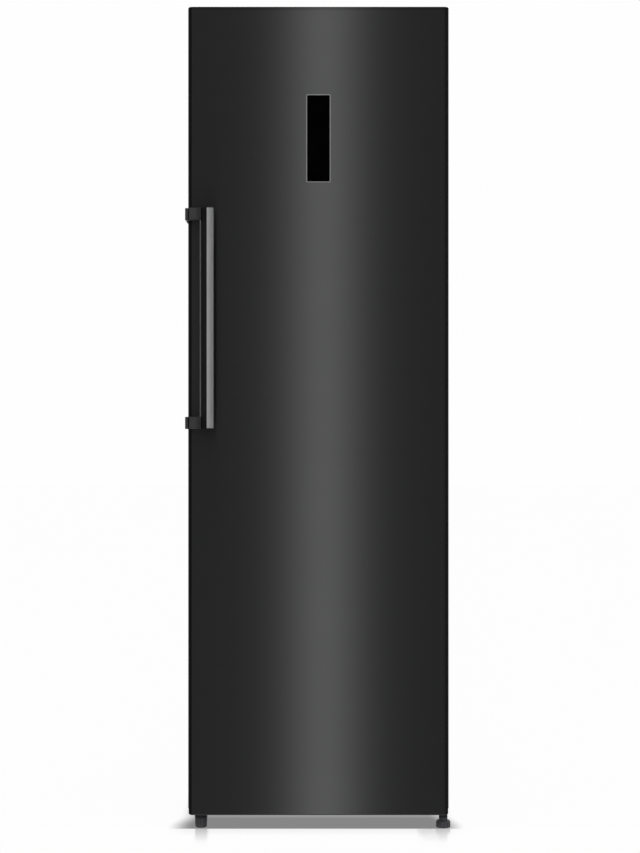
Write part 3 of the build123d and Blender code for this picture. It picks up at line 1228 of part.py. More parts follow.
def handle_bracket(low, end_low):
    """Bracket from the door's left side, round its edge and across to the bar.

    Its end plate, between end_low and the bar's end, closes the bar off.
    """
    high = low + BRACKET_HEIGHT
    groove_left = -HALF_WIDTH + BRACKET_GROOVE_IN
    with BuildPart() as bracket:
        with BuildSketch(Plane.XY.offset(low)):
            Polygon(
                (FOOT_OUT, ARM_FRONT + BRACKET_FOOT_SETBACK + 1.5),
                (FOOT_OUT + 1.5, ARM_FRONT + BRACKET_FOOT_SETBACK),
                (groove_left + 1.0, ARM_FRONT + BRACKET_FOOT_SETBACK),
                (groove_left + 1.0, ARM_FRONT),
                (BAR_STEP - BAR_CREST, ARM_FRONT),
                (BAR_RIGHT - 6.0, ARM_FRONT),
                (BAR_RIGHT - 6.0, ARM_BACK),
                (-HALF_WIDTH + EDGE_ROLL, ARM_BACK),
                (-HALF_WIDTH, ARM_BACK + EDGE_ROLL),
                (-HALF_WIDTH, DOOR_FRONT_Y + BRACKET_FOOT_REACH),
                (FOOT_OUT, DOOR_FRONT_Y + BRACKET_FOOT_REACH - 4.0),
                align=None,
            )
        extrude(amount=BRACKET_HEIGHT)
        ends = bracket.faces().sort_by(Axis.Z)
        fillet(ends[0].edges() + ends[-1].edges(), BRACKET_ROUND)
        # Plate over the end of the bar.
        with BuildSketch(Plane.XY.offset(end_low)):
            Polygon(
                (BAR_LEFT + BAR_LIP, BAR_BACK - 1.0),
                (BAR_LEFT + BAR_LIP, BAR_BACK - BAR_EDGE),
                (BAR_STEP, FLANK_TOP[1]),
                (BAR_STEP + BAR_CHAMFER, BAR_FRONT + 1.0),
                (BAR_RIGHT - 1.0, BAR_FRONT + 1.0),
                (BAR_RIGHT - 1.0, BAR_BACK - 1.0),
                align=None,
            )
        extrude(amount=BAR_END_PLATE)
        # Groove between the foot's cover and the arm.
        add(
            block_between(
                (groove_left, ARM_FRONT - 1.0, low - 1.0),
                (groove_left + BRACKET_GROOVE, ARM_FRONT + BRACKET_GROOVE_DEPTH, high + 1.0),
            ),
            mode=Mode.SUBTRACT,
        )
        # Seat for the bar.
        add(handle_bar.part, mode=Mode.SUBTRACT)
        with BuildSketch(Plane.YZ.offset(FOOT_OUT)):
            with Locations((SCREW_Y, low + BRACKET_HEIGHT / 2)):
                Circle(HANDLE_SCREW_RADIUS)
        extrude(amount=BRACKET_FOOT, mode=Mode.SUBTRACT)
        with BuildSketch(Plane.YZ.offset(FOOT_OUT)):
            with Locations((SCREW_Y, low + BRACKET_HEIGHT / 2)):
                Circle(HANDLE_SCREW_HEAD)
        extrude(amount=HANDLE_HEAD_SINK, mode=Mode.SUBTRACT)
    return bracket.part


BRACKET_LOWS = (BAR_LOW - BAR_END_PLATE, BAR_HIGH + BAR_END_PLATE - BRACKET_HEIGHT)
finish(handle_bracket(BRACKET_LOWS[0], BAR_LOW - BAR_END_PLATE), "handle_bracket_lower")
finish(handle_bracket(BRACKET_LOWS[1], BAR_HIGH), "handle_bracket_upper")

screws = []
for low in BRACKET_LOWS:
    with BuildPart() as screw:
        with BuildSketch(Plane.YZ.offset(FOOT_OUT + HANDLE_HEAD_SINK - HANDLE_HEAD_HEIGHT)):
            with Locations((SCREW_Y, low + BRACKET_HEIGHT / 2)):
                Circle(HANDLE_SCREW_HEAD)
        extrude(amount=HANDLE_HEAD_HEIGHT)
        with BuildSketch(Plane.YZ.offset(FOOT_OUT + HANDLE_HEAD_SINK)):
            with Locations((SCREW_Y, low + BRACKET_HEIGHT / 2)):
                Circle(HANDLE_SCREW_RADIUS)
        extrude(amount=BRACKET_FOOT - HANDLE_HEAD_SINK)
    screws.append(screw.part.solid())
finish(Compound(children=screws), "handle_screws")

# ================================================================ top hinge
PLATE_RIGHT = HALF_WIDTH - 3.0
PLATE_LEFT = PLATE_RIGHT - HINGE_PLATE_WIDTH
PLATE_REAR = CABINET_FRONT_Y + HINGE_PLATE_RUN
TOP_PLATE_TOP = CABINET_TOP + HINGE_PLATE
SCREW_PLACES_TOP = [
    (PLATE_LEFT + 14.0, PLATE_REAR - 14.0),
    (PLATE_RIGHT - 14.0, PLATE_REAR - 14.0),
    (PLATE_LEFT + 14.0, CABINET_FRONT_Y + 18.0),
]
with BuildPart() as top_hinge:
    with BuildSketch(Plane.XY.offset(CABINET_TOP)):
        Polygon(
            (PLATE_LEFT, PLATE_REAR),
            (PLATE_LEFT, CABINET_FRONT_Y + 3.0),
            (HINGE_X - ARM_HALF, CABINET_FRONT_Y + 3.0),
            (HINGE_X - ARM_HALF, HINGE_Y),
            (HINGE_X + ARM_HALF, HINGE_Y),
            (HINGE_X + ARM_HALF, CABINET_FRONT_Y + 3.0),
            (PLATE_RIGHT, CABINET_FRONT_Y + 3.0),
            (PLATE_RIGHT, PLATE_REAR),
            align=None,
        )
        with Locations((HINGE_X, HINGE_Y)):
            Circle(ARM_HALF)
        with Locations(*SCREW_PLACES_TOP):
            Circle(HINGE_SCREW_RADIUS, mode=Mode.SUBTRACT)
    extrude(amount=HINGE_PLATE)
    # Pin pressed into the arm, pointing down into the door's upper bush.
    with BuildSketch(Plane.XY.offset(NOTCH_FLOOR - HINGE_PIN_ENGAGED)):
        with Locations((HINGE_X, HINGE_Y)):
            Circle(HINGE_PIN_RADIUS)
    extrude(amount=CABINET_TOP - NOTCH_FLOOR + HINGE_PIN_ENGAGED)
finish(top_hinge.part, "top_hinge")

hinge_screws = []
for place in SCREW_PLACES_TOP:
    with BuildPart() as screw:
        with BuildSketch(Plane.XY.offset(CABINET_TOP)):
            with Locations(place):
                Circle(HINGE_SCREW_RADIUS)
        extrude(amount=HINGE_PLATE)
        with BuildSketch(Plane.XY.offset(TOP_PLATE_TOP)):
            with Locations(place):
                RegularPolygon(HINGE_SCREW_HEX, 6)
        extrude(amount=HINGE_SCREW_HEAD)
    hinge_screws.append(screw.part.solid())

COVER_GAP = 0.5
COVER_LOW_X = PLATE_LEFT - HINGE_COVER_WALL - COVER_GAP
COVER_HIGH_X = PLATE_RIGHT + HINGE_COVER_WALL + COVER_GAP
COVER_FRONT_Y = CABINET_FRONT_Y + 1.0
COVER_REAR_Y = PLATE_REAR + HINGE_COVER_WALL + COVER_GAP
with BuildPart() as hinge_cover:
    add(
        block_between(
            (COVER_LOW_X, COVER_FRONT_Y, CABINET_TOP),
            (COVER_HIGH_X, COVER_REAR_Y, TOP_PLATE_TOP + HINGE_COVER_HEIGHT),
        )
    )
    upright = hinge_cover.edges().filter_by(Axis.Z)
    fillet(upright, 6.0)
    fillet(hinge_cover.faces().sort_by(Axis.Z)[-1].edges(), 2.5)
    add(
        block_between(
            (COVER_LOW_X + HINGE_COVER_WALL, COVER_FRONT_Y + 1.5, CABINET_TOP - 1.0),
            (
                COVER_HIGH_X - HINGE_COVER_WALL,
                COVER_REAR_Y - HINGE_COVER_WALL,
                TOP_PLATE_TOP + HINGE_COVER_HEIGHT - HINGE_COVER_WALL,
            ),
        ),
        mode=Mode.SUBTRACT,
    )
    # Slot in the front wall that the arm passes through.
    add(
        block_between(
            (HINGE_X - ARM_HALF - COVER_GAP, COVER_FRONT_Y - 1.0, CABINET_TOP - 1.0),
            (
                HINGE_X + ARM_HALF + COVER_GAP,
                COVER_FRONT_Y + HINGE_COVER_WALL + 4.0,
                TOP_PLATE_TOP + COVER_GAP,
            ),
        ),
        mode=Mode.SUBTRACT,
    )
finish(hinge_cover.part, "hinge_cover")

# ================================================================ bottom hinge, feet
LOWER_PLATE_LOW = CABINET_BOTTOM - HINGE_PLATE
LEFT_FOOT_X = -HALF_WIDTH + LEFT_FOOT_FROM_SIDE
SCREW_PLACES_RIGHT = [
    (HINGE_X - 40.0, CABINET_FRONT_Y + 24.0),
    (HINGE_X - 8.0, CABINET_FRONT_Y + 24.0),
    (HINGE_X - 24.0, CABINET_FRONT_Y + 56.0),
]
SCREW_PLACES_LEFT = [
    (LEFT_FOOT_X, CABINET_FRONT_Y + 24.0),
    (LEFT_FOOT_X, CABINET_FRONT_Y + 56.0),
]
with BuildPart() as bottom_hinge:
    with BuildSketch(Plane.XY.offset(LOWER_PLATE_LOW)):
        Polygon(
            (HINGE_X - LOWER_PLATE_REACH, CABINET_FRONT_Y + HINGE_PLATE_RUN),
            (HINGE_X - LOWER_PLATE_REACH, CABINET_FRONT_Y + 2.0),
            (HINGE_X - STOP_FROM_AXIS - 4.0, HINGE_Y - 8.0),
            (HINGE_X, HINGE_Y - ARM_HALF),
            (HINGE_X + 6.0, HINGE_Y - ARM_HALF + 3.0),
            (HALF_WIDTH - 2.0, HINGE_Y),
            (HALF_WIDTH - 2.0, CABINET_FRONT_Y + HINGE_PLATE_RUN),
            align=None,
        )
        with Locations((HINGE_X, HINGE_Y)):
            Circle(FOOT_STUD, mode=Mode.SUBTRACT)
        with Locations(*SCREW_PLACES_RIGHT):
            Circle(HINGE_SCREW_RADIUS, mode=Mode.SUBTRACT)
    extrude(amount=HINGE_PLATE)
    # Hinge pin with a shoulder on the plate.
    with BuildSketch(Plane.XY.offset(CABINET_BOTTOM)):
        with Locations((HINGE_X, HINGE_Y)):
            Circle(HINGE_PIN_RADIUS + PIN_SHOULDER)
    extrude(amount=DOOR_BOTTOM - CABINET_BOTTOM - SLIDE_GAP)
    with BuildSketch(Plane.XY.offset(CABINET_BOTTOM)):
        with Locations((HINGE_X, HINGE_Y)):
            Circle(HINGE_PIN_RADIUS)
    extrude(amount=DOOR_BOTTOM - CABINET_BOTTOM + HINGE_PIN_ENGAGED)
    # Stop lug that hangs from the plate's front edge.
    lug_width, lug_depth, lug_height = STOP_SIZE
    lug_z = LOWER_PLATE_LOW + HINGE_PLATE - lug_height / 2
    with Locations((HINGE_X - STOP_FROM_AXIS, HINGE_Y - 4.0, lug_z)):
        Box(lug_width, lug_depth, lug_height)
finish(bottom_hinge.part, "bottom_hinge")

with BuildPart() as left_foot_plate:
    with BuildSketch(Plane.XY.offset(LOWER_PLATE_LOW)):
        with Locations((LEFT_FOOT_X, (HINGE_Y + CABINET_FRONT_Y + HINGE_PLATE_RUN) / 2)):
            Rectangle(24.0, CABINET_FRONT_Y + HINGE_PLATE_RUN - HINGE_Y)
        with Locations((LEFT_FOOT_X, HINGE_Y)):
            Circle(12.0)
            Circle(FOOT_STUD, mode=Mode.SUBTRACT)
        with Locations(*SCREW_PLACES_LEFT):
            Circle(HINGE_SCREW_RADIUS, mode=Mode.SUBTRACT)
    extrude(amount=HINGE_PLATE)
finish(left_foot_plate.part, "left_foot_plate")

for place in SCREW_PLACES_RIGHT + SCREW_PLACES_LEFT:
    with BuildPart() as screw:
        with BuildSketch(Plane.XY.offset(LOWER_PLATE_LOW)):
            with Locations(place):
                Circle(HINGE_SCREW_RADIUS)
        extrude(amount=HINGE_PLATE)
        with BuildSketch(Plane.XY.offset(LOWER_PLATE_LOW)):
            with Locations(place):
                RegularPolygon(HINGE_SCREW_HEX, 6)
        extrude(amount=-HINGE_SCREW_HEAD)
    hinge_screws.append(screw.part.solid())
finish(Compound(children=hinge_screws), "hinge_screws")

STUD_TOP = LOWER_PLATE_LOW + HINGE_PLATE - SLIDE_GAP
with BuildPart() as foot_right:
    with BuildSketch(Plane.XY):
        with Locations((HINGE_X, HINGE_Y)):
            Circle(RIGHT_FOOT_RADIUS)
    extrude(amount=RIGHT_FOOT_BASE)
    with BuildSketch(Plane.XY):
        with Locations((HINGE_X, HINGE_Y)):
            with PolarLocations(RIGHT_FOOT_RADIUS, FOOT_RIBS):
                Circle(FOOT_RIB_DEPTH)
    extrude(amount=RIGHT_FOOT_BASE - 2 * FOOT_EDGE, mode=Mode.SUBTRACT)
    chamfer(foot_right.faces().sort_by(Axis.Z)[-1].edges(), 2.0)
    with BuildSketch(Plane.XY.offset(RIGHT_FOOT_BASE)):
        with Locations((HINGE_X, HINGE_Y)):
            Circle(RIGHT_FOOT_NECK)
    extrude(amount=LOWER_PLATE_LOW - SLIDE_GAP - RIGHT_FOOT_BASE)
    with BuildSketch(Plane.XY.offset(RIGHT_FOOT_BASE)):
        with Locations((HINGE_X, HINGE_Y)):
            Circle(FOOT_STUD - PIN_GAP)
    extrude(amount=STUD_TOP - RIGHT_FOOT_BASE)
finish(foot_right.part, "foot_right")

with BuildPart() as foot_left:
    with BuildSketch(Plane.XY.offset(LOWER_PLATE_LOW - SLIDE_GAP)):
        with Locations((LEFT_FOOT_X, HINGE_Y)):
            Circle(LEFT_FOOT_RADIUS)
    extrude(amount=-(LOWER_PLATE_LOW - SLIDE_GAP), taper=LEFT_FOOT_TAPER)
    chamfer(foot_left.faces().sort_by(Axis.Z)[0].edges(), FOOT_EDGE)
    with BuildSketch(Plane.XY):
        with Locations((LEFT_FOOT_X, HINGE_Y)):
            with PolarLocations(LEFT_FOOT_RADIUS - FOOT_RIB_DEPTH / 2, FOOT_RIBS):
                Circle(FOOT_RIB_DEPTH)
    extrude(amount=LOWER_PLATE_LOW - FOOT_RIB_END, mode=Mode.SUBTRACT)
    with BuildSketch(Plane.XY.offset(LOWER_PLATE_LOW - 2.0)):
        with Locations((LEFT_FOOT_X, HINGE_Y)):
            Circle(FOOT_STUD - PIN_GAP)
    extrude(amount=STUD_TOP - LOWER_PLATE_LOW + 2.0)
finish(foot_left.part, "foot_left")
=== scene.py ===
# %% [markdown]
# # A tall upright freezer
# The real thing is a foamed steel cabinet with one flat door in dark brushed steel, a bar handle on
# two brackets, a slim black display and six clear drawers behind the door. Its exact shape comes in
# as a finished frame, so this lesson is about the looks: what each surface is made of, which small
# pieces the frame leaves out, and how to light a dark metal door so that it reads as metal.

# %% Load the frame
import math
import bmesh
import bpy
from mathutils import Matrix, Vector


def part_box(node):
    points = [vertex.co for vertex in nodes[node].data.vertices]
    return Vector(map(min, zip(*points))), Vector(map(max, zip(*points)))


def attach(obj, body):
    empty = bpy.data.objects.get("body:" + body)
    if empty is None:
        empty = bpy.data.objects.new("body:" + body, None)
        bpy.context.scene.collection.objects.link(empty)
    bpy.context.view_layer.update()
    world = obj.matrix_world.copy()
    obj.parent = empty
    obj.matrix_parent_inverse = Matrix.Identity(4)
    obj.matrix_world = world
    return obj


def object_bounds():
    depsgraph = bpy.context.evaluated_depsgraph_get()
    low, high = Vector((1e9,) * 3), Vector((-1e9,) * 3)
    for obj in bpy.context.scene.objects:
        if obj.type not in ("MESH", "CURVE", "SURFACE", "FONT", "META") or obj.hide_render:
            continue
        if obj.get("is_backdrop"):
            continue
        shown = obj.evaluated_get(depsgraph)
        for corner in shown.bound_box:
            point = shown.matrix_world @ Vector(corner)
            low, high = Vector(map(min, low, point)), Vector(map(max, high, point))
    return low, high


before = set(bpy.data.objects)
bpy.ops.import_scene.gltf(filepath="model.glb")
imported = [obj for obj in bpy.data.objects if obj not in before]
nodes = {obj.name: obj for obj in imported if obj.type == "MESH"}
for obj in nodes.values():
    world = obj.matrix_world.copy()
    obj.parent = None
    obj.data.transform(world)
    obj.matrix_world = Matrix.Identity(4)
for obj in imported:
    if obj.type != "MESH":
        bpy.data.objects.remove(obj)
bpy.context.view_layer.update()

# %% [markdown]
# ## Where the photographer stood
# The photograph looks straight at the door from a little below half its height. The lens could be
# guessed, but the spacing of the feet and the handle against the door gives the distance: about
# 3.4 metres. A camera placed there needs no shift at all, so other views can turn round it safely.

# %% Camera
camera_distance = 3.4       # door's front to the lens
camera_below_top = 0.9554   # door's top edge to the lens
camera_aside = 0.0036
scene = bpy.context.scene
camera_data = bpy.data.cameras.new("camera")
camera_data.lens = 63.03
camera_data.clip_end = 100.0
camera = bpy.data.objects.new("camera", camera_data)
door_low, door_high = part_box("door_panel")
camera.location = (camera_aside, door_low.y - camera_distance, door_high.z - camera_below_top)
camera.rotation_euler = (math.radians(90), 0, 0)
scene.collection.objects.link(camera)
scene.camera = camera
scene.view_settings.view_transform = "Standard"
print("camera to door:", round(door_low.y - camera.location.y, 3), "m, lens", camera_data.lens, "mm")

# %% [markdown]
# ## A vocabulary for finishes
# Every finish here starts from one Principled shader and adds three things that real surfaces have:
# a colour that wanders a little, a gloss that wanders a little, and a relief. All of them read Object
# coordinates, which are plain metres here, so a scale of 400 means grains of about 2 millimetres.
# The alternative, a picture wrapped round the part, would need unwrapping and would blur close up.


# %% Starting a finish
def start_finish(title, **uniform):
    """A new material, with the numbers that are the same all over set on the shader's own sockets."""
    made = bpy.data.materials.new(title)
    made.use_nodes = True
    shader = made.node_tree.nodes["Principled BSDF"]
    for socket, value in uniform.items():
        shader.inputs[socket.replace("_", " ")].default_value = value
    return made, shader


# %% Grain that is fixed to the part
def grain(made, scale, stretch=(1, 1, 1), detail=3.0, distortion=0.0):
    """Noise in metres on the part itself; a small stretch number draws the grain out along that axis."""
    tree = made.node_tree
    place = tree.nodes.new("ShaderNodeTexCoord")
    turn = tree.nodes.new("ShaderNodeMapping")
    noise = tree.nodes.new("ShaderNodeTexNoise")
    turn.inputs["Scale"].default_value = stretch
    noise.inputs["Scale"].default_value = scale
    noise.inputs["Detail"].default_value = detail
    noise.inputs["Distortion"].default_value = distortion
    tree.links.new(place.outputs["Object"], turn.inputs["Vector"])
    tree.links.new(turn.outputs["Vector"], noise.inputs["Vector"])
    return noise.outputs["Fac"]


# %% From grain to colour, gloss and relief
def spread(made, factor, low, high, sharp=0.25):
    """Turn a noise, which keeps near its middle, into a number between low and high."""
    tree = made.node_tree
    ranged = tree.nodes.new("ShaderNodeMapRange")
    ranged.inputs["From Min"].default_value = 0.5 - sharp
    ranged.inputs["From Max"].default_value = 0.5 + sharp
    ranged.inputs["To Min"].default_value = low
    ranged.inputs["To Max"].default_value = high
    tree.links.new(factor, ranged.inputs["Value"])
    return ranged.outputs["Result"]


def two_tones(made, factor, first, second):
    """Mix two colours by a number between 0 and 1."""
    tree = made.node_tree
    mixed = tree.nodes.new("ShaderNodeMix")
    mixed.data_type = "RGBA"
    for socket, tone in ((6, first), (7, second)):
        mixed.inputs[socket].default_value = (*tone, 1)
    tree.links.new(factor, mixed.inputs["Factor"])
    return mixed.outputs[2]


def relief(made, shader, height, depth, strength=1.0, under=None):
    """A bump of that depth in metres, on top of another bump if one is given."""
    tree = made.node_tree
    bump = tree.nodes.new("ShaderNodeBump")
    bump.inputs["Distance"].default_value = depth
    bump.inputs["Strength"].default_value = strength
    tree.links.new(height, bump.inputs["Height"])
    if under is not None:
        tree.links.new(under, bump.inputs["Normal"])
    tree.links.new(bump.outputs["Normal"], shader.inputs["Normal"])
    return bump.outputs["Normal"]


def shade(made, shader, colour=None, gloss=None):
    """Link a colour and a roughness to the shader."""
    if colour is not None:
        made.node_tree.links.new(colour, shader.inputs["Base Color"])
    if gloss is not None:
        made.node_tree.links.new(gloss, shader.inputs["Roughness"])


# %% A step or a fade along one axis of a part
def along(made, axis, start, end, low=0.0, high=1.0):
    """Low before start and high after end, along X, Y or Z in metres."""
    tree = made.node_tree
    place = tree.nodes.new("ShaderNodeTexCoord")
    axes = tree.nodes.new("ShaderNodeSeparateXYZ")
    fade = tree.nodes.new("ShaderNodeMapRange")
    for name, number in (("From Min", start), ("From Max", end), ("To Min", low), ("To Max", high)):
        fade.inputs[name].default_value = number
    tree.links.new(place.outputs["Object"], axes.inputs["Vector"])
    tree.links.new(axes.outputs[axis], fade.inputs["Value"])
    return fade.outputs["Result"]


def darker(made, colour, amount, tone=(0.0, 0.0, 0.0)):
    """Take a colour towards a dark tone by an amount between 0 and 1."""
    tree = made.node_tree
    mixed = tree.nodes.new("ShaderNodeMix")
    mixed.data_type = "RGBA"
    mixed.inputs[7].default_value = (*tone, 1)
    tree.links.new(colour, mixed.inputs[6])
    tree.links.new(amount, mixed.inputs["Factor"])
    return mixed.outputs[2]


def shader_and_colour(made):
    """The shader of a finished material and the colour that already runs into it."""
    shader = made.node_tree.nodes["Principled BSDF"]
    return shader, shader.inputs["Base Color"].links[0].from_socket


# %% Dressing a piece of the frame
dressed = {}


def dress(made, *names):
    """Give a finish to pieces of the frame, and keep count of who has one."""
    for name in names:
        mesh = nodes[name].data
        if mesh.materials:
            mesh.materials[0] = made
        else:
            mesh.materials.append(made)
        dressed[name] = made.name
    print(made.name, "on", ", ".join(names))


# %% [markdown]
# ## Dark brushed steel
# The door's front is a steel sheet that was brushed sideways and then tinted dark. Brushing leaves
# thousands of parallel scratches, so a lamp is smeared up and down while its left and right edges
# stay fairly tight. Principled's anisotropy does that smear. It could be left to the noise bump alone,
# but bump finer than a pixel only turns into sparkle, so the bump stays faint and the socket does the work.
# Along its top edge the sheet is folded back over the cap, and that hem is painted a little darker: painted
# shade along the fold.


# %% Door skin
def brushed_steel():
    fold = door_high.z - 0.0064     # lower edge of the hem at the top
    made, shader = start_finish("dark_brushed_steel", Metallic=1.0, Anisotropic=1.0,
                                Anisotropic_Rotation=0.25)
    lines = grain(made, 1.0, stretch=(3.0, 3.0, 1500.0), detail=4.0)
    broad = grain(made, 1.0, stretch=(0.6, 0.6, 14.0), detail=1.0)
    colour = two_tones(made, spread(made, lines, 0.0, 1.0), (0.0405, 0.0408, 0.0413),
                       (0.0465, 0.0468, 0.0473))
    # painted shade: the colour darkens by about a quarter above the fold
    hem_painted_shade = along(made, "Z", fold - 0.001, fold, 0.0, 0.24)
    shade(made, shader, darker(made, colour, hem_painted_shade), spread(made, broad, 0.372, 0.382))
    relief(made, shader, lines, 0.00001, 0.25)
    return made


dark_steel = brushed_steel()
dress(dark_steel, "door_panel")

# %% [markdown]
# ## Painted steel
# The cabinet's sides and roof are steel sheet with a powder coat. Baked powder never lies quite flat:
# it has a soft orange-peel relief a few millimetres wide, and a fine tooth under it. Two bumps, one on
# the other, give both at their own scales.


# %% Powder coat for the cabinet
def powder_coat(title, tone, tooth=2600.0, peel=160.0, gloss=(0.38, 0.5)):
    made, shader = start_finish(title, Coat_Weight=0.12, Coat_Roughness=0.3)
    blotch = grain(made, 6.0, detail=2.0)
    light = tuple(min(1.0, v * 1.09) for v in tone)
    shade(made, shader, two_tones(made, spread(made, blotch, 0.0, 1.0), tone, light),
          spread(made, grain(made, 40.0), *gloss))
    under = relief(made, shader, grain(made, peel, detail=1.0), 0.00012, 0.35)
    relief(made, shader, grain(made, tooth, detail=2.0), 0.00004, 0.4, under)
    return made


cabinet_paint = powder_coat("cabinet_powder_coat", (0.105, 0.11, 0.116))
dress(cabinet_paint, "side_panel_left", "side_panel_right", "top_panel")
compressor_enamel = powder_coat("compressor_enamel", (0.018, 0.018, 0.02), tooth=900.0, gloss=(0.2, 0.34))
dress(compressor_enamel, "compressor")

# %% [markdown]
# ## Zinc plated sheet
# The back, the underside and the hinge plates are bare galvanised sheet. Its zinc froze in crystals,
# which is the patchwork called spangle. A Voronoi pattern makes those flat patches, each with a grey and
# a gloss of its own. Noise would blur them into clouds.


# %% Zinc spangle
def zinc(title, tone, spangle=70.0, roughness=(0.34, 0.5), metallic=1.0):
    made, shader = start_finish(title, Metallic=metallic)
    tree = made.node_tree
    place = tree.nodes.new("ShaderNodeTexCoord")
    cells = tree.nodes.new("ShaderNodeTexVoronoi")
    cells.inputs["Scale"].default_value = spangle
    tree.links.new(place.outputs["Object"], cells.inputs["Vector"])
    patch = tree.nodes.new("ShaderNodeSeparateColor")
    tree.links.new(cells.outputs["Color"], patch.inputs["Color"])
    dim = tuple(v * 0.82 for v in tone)
    shade(made, shader, two_tones(made, patch.outputs[0], dim, tone),
          spread(made, patch.outputs[1], roughness[0], roughness[1], 0.5))
    relief(made, shader, grain(made, 900.0, detail=2.0), 0.00002, 0.3)
    return made


zinc_sheet = zinc("zinc_spangle", (0.52, 0.53, 0.545))
dress(zinc_sheet, "back_panel", "base_pan", "bay_plate", "bottom_hinge", "left_foot_plate", "top_hinge")
screw_zinc = zinc("screw_zinc", (0.6, 0.6, 0.6), spangle=600.0, roughness=(0.24, 0.36))
dress(screw_zinc, "handle_screws", "hinge_screws", "roller_axles")
mill_aluminium = zinc("mill_aluminium", (0.76, 0.77, 0.78), spangle=300.0, roughness=(0.3, 0.42))
dress(mill_aluminium, "defrost_heater", "evaporator_coil", "evaporator_fins")

# %% [markdown]
# ## Moulded plastics
# Housings, caps, feet, liner and trays all come out of steel moulds, and a mould leaves its own skin:
# spark-eroded grain on the dark parts, near polish on the white ones. One recipe with its tones, its
# gloss and its grain as arguments covers them all, because that is also how the real ones differ.


# %% Moulded plastic
def moulded(title, tone, gloss, tooth, depth, drift=1.12, **uniform):
    """A moulded plastic: its tone, its span of roughness, and the mould's grain per metre and depth."""
    made, shader = start_finish(title, **uniform)
    light = tuple(min(1.0, v * drift) for v in tone)
    shade(made, shader, two_tones(made, spread(made, grain(made, 14.0, detail=2.0), 0.0, 1.0), tone, light),
          spread(made, grain(made, 55.0), *gloss))
    soft = relief(made, shader, grain(made, 90.0, detail=1.0), 0.00008, 0.25)
    relief(made, shader, grain(made, tooth, detail=3.0), depth, 0.5, soft)
    return made


black_plastic = moulded("black_moulding", (0.021, 0.0215, 0.022), (0.42, 0.58), 1700.0, 0.00006)
dress(black_plastic, "door_top_cap", "door_bottom_cap", "hinge_cover", "control_box", "cord_gland")
foot_plastic = moulded("foot_moulding", (0.05, 0.051, 0.054), (0.4, 0.55), 1200.0, 0.00006)
dress(foot_plastic, "roller_left", "roller_right")
grey_plastic = moulded("grey_moulding", (0.1, 0.1, 0.105), (0.45, 0.6), 1500.0, 0.00006)
dress(grey_plastic, "bay_cover")
relay_plastic = moulded("relay_moulding", (0.13, 0.13, 0.14), (0.5, 0.65), 1500.0, 0.00005)
dress(relay_plastic, "fan_motor", "terminal_box")
natural_plastic = moulded("natural_acetal", (0.7, 0.69, 0.65), (0.3, 0.4), 900.0, 0.00002, drift=1.04)
dress(natural_plastic, "hinge_bushes")

# %% [markdown]
# The two front feet are nylon, duller than the caps. Their necks stand in the dark under the door, too
# deep for the soft light of this room to show it, so the colour itself fades to a third above the foot's
# base. The alternative, a dark lamp shield under the door, would have darkened the floor as well.


# %% Feet, darker under the door
def foot_finish():
    base_top, neck_start = 0.0205, 0.0245
    made = moulded("foot_shaded_moulding", (0.074, 0.075, 0.079), (0.4, 0.55), 1200.0, 0.00006,
                   Specular_IOR_Level=0.08)
    shader, colour = shader_and_colour(made)
    # painted shade on the necks, which stand in the dark under the door
    shade(made, shader, darker(made, colour, along(made, "Z", base_top, neck_start, 0.0, 0.7)))
    return made


dress(foot_finish(), "foot_left", "foot_right")

# %% White liner and trays
liner_plastic = moulded("white_liner", (0.79, 0.805, 0.815), (0.24, 0.36), 700.0, 0.00002, drift=1.03,
                        Coat_Weight=0.15, Coat_Roughness=0.2)
dress(liner_plastic, "door_liner", "duct_cover", "inner_liner")
tray_plastic = moulded("white_tray", (0.74, 0.75, 0.75), (0.3, 0.42), 1100.0, 0.00003, drift=1.04)
dress(tray_plastic, "drain_tube", "drip_tray", "fan_rotor", "temperature_sensor")
bezel_plastic = moulded("bezel_moulding", (0.15, 0.15, 0.157), (0.3, 0.4), 2200.0, 0.00003)
dress(bezel_plastic, "display_bezel")

# %% [markdown]
# ## Rubber, foam and copper
# The seal is soft plastisol with a matt, slightly dusty skin, so it gets a little sheen. The foam is
# hidden, but it shows in a cut or when a skin is taken off, and rigid foam is a mass of cells. The
# condenser's tube is copper that has browned in the air, unevenly.

# %% Rubber and seal
seal_rubber = moulded("seal_rubber", (0.2, 0.205, 0.21), (0.55, 0.7), 1300.0, 0.00005, drift=1.08,
                      Sheen_Weight=0.15, Sheen_Roughness=0.6)
dress(seal_rubber, "door_seal")
mount_rubber = moulded("mount_rubber", (0.03, 0.03, 0.03), (0.65, 0.8), 900.0, 0.00008)
dress(mount_rubber, "compressor_mounts")


# %% Rigid foam
def rigid_foam():
    made, shader = start_finish("rigid_foam", Roughness=0.85)
    tree = made.node_tree
    place = tree.nodes.new("ShaderNodeTexCoord")
    cells = tree.nodes.new("ShaderNodeTexVoronoi")
    cells.inputs["Scale"].default_value = 450.0
    tree.links.new(place.outputs["Object"], cells.inputs["Vector"])
    shade(made, shader, two_tones(made, spread(made, grain(made, 12.0), 0.0, 1.0),
                                  (0.78, 0.64, 0.36), (0.88, 0.76, 0.47)))
    relief(made, shader, cells.outputs["Distance"], 0.0006, 0.6)
    return made


dress(rigid_foam(), "cabinet_foam", "door_foam")


# %% Browned copper
def browned_copper():
    made, shader = start_finish("browned_copper", Metallic=1.0)
    stain = grain(made, 60.0, detail=5.0, distortion=0.6)
    colour = two_tones(made, spread(made, stain, 0.0, 1.0, 0.15), (0.62, 0.33, 0.2), (0.24, 0.13, 0.08))
    shade(made, shader, colour, spread(made, stain, 0.28, 0.5))
    relief(made, shader, grain(made, 1500.0), 0.00002, 0.3)
    return made


dress(browned_copper(), "condenser_coil")

# %% [markdown]
# ## Glass and clear plastic
# The display is black glass over a dark cavity: in the photograph it is the blackest thing of all. The
# shelves are toughened glass with a green body. The drawers are clear polystyrene whose mould was
# lightly frosted. Both clear ones use transmission, not alpha, so what stands behind them is bent and
# softened as it is in life.


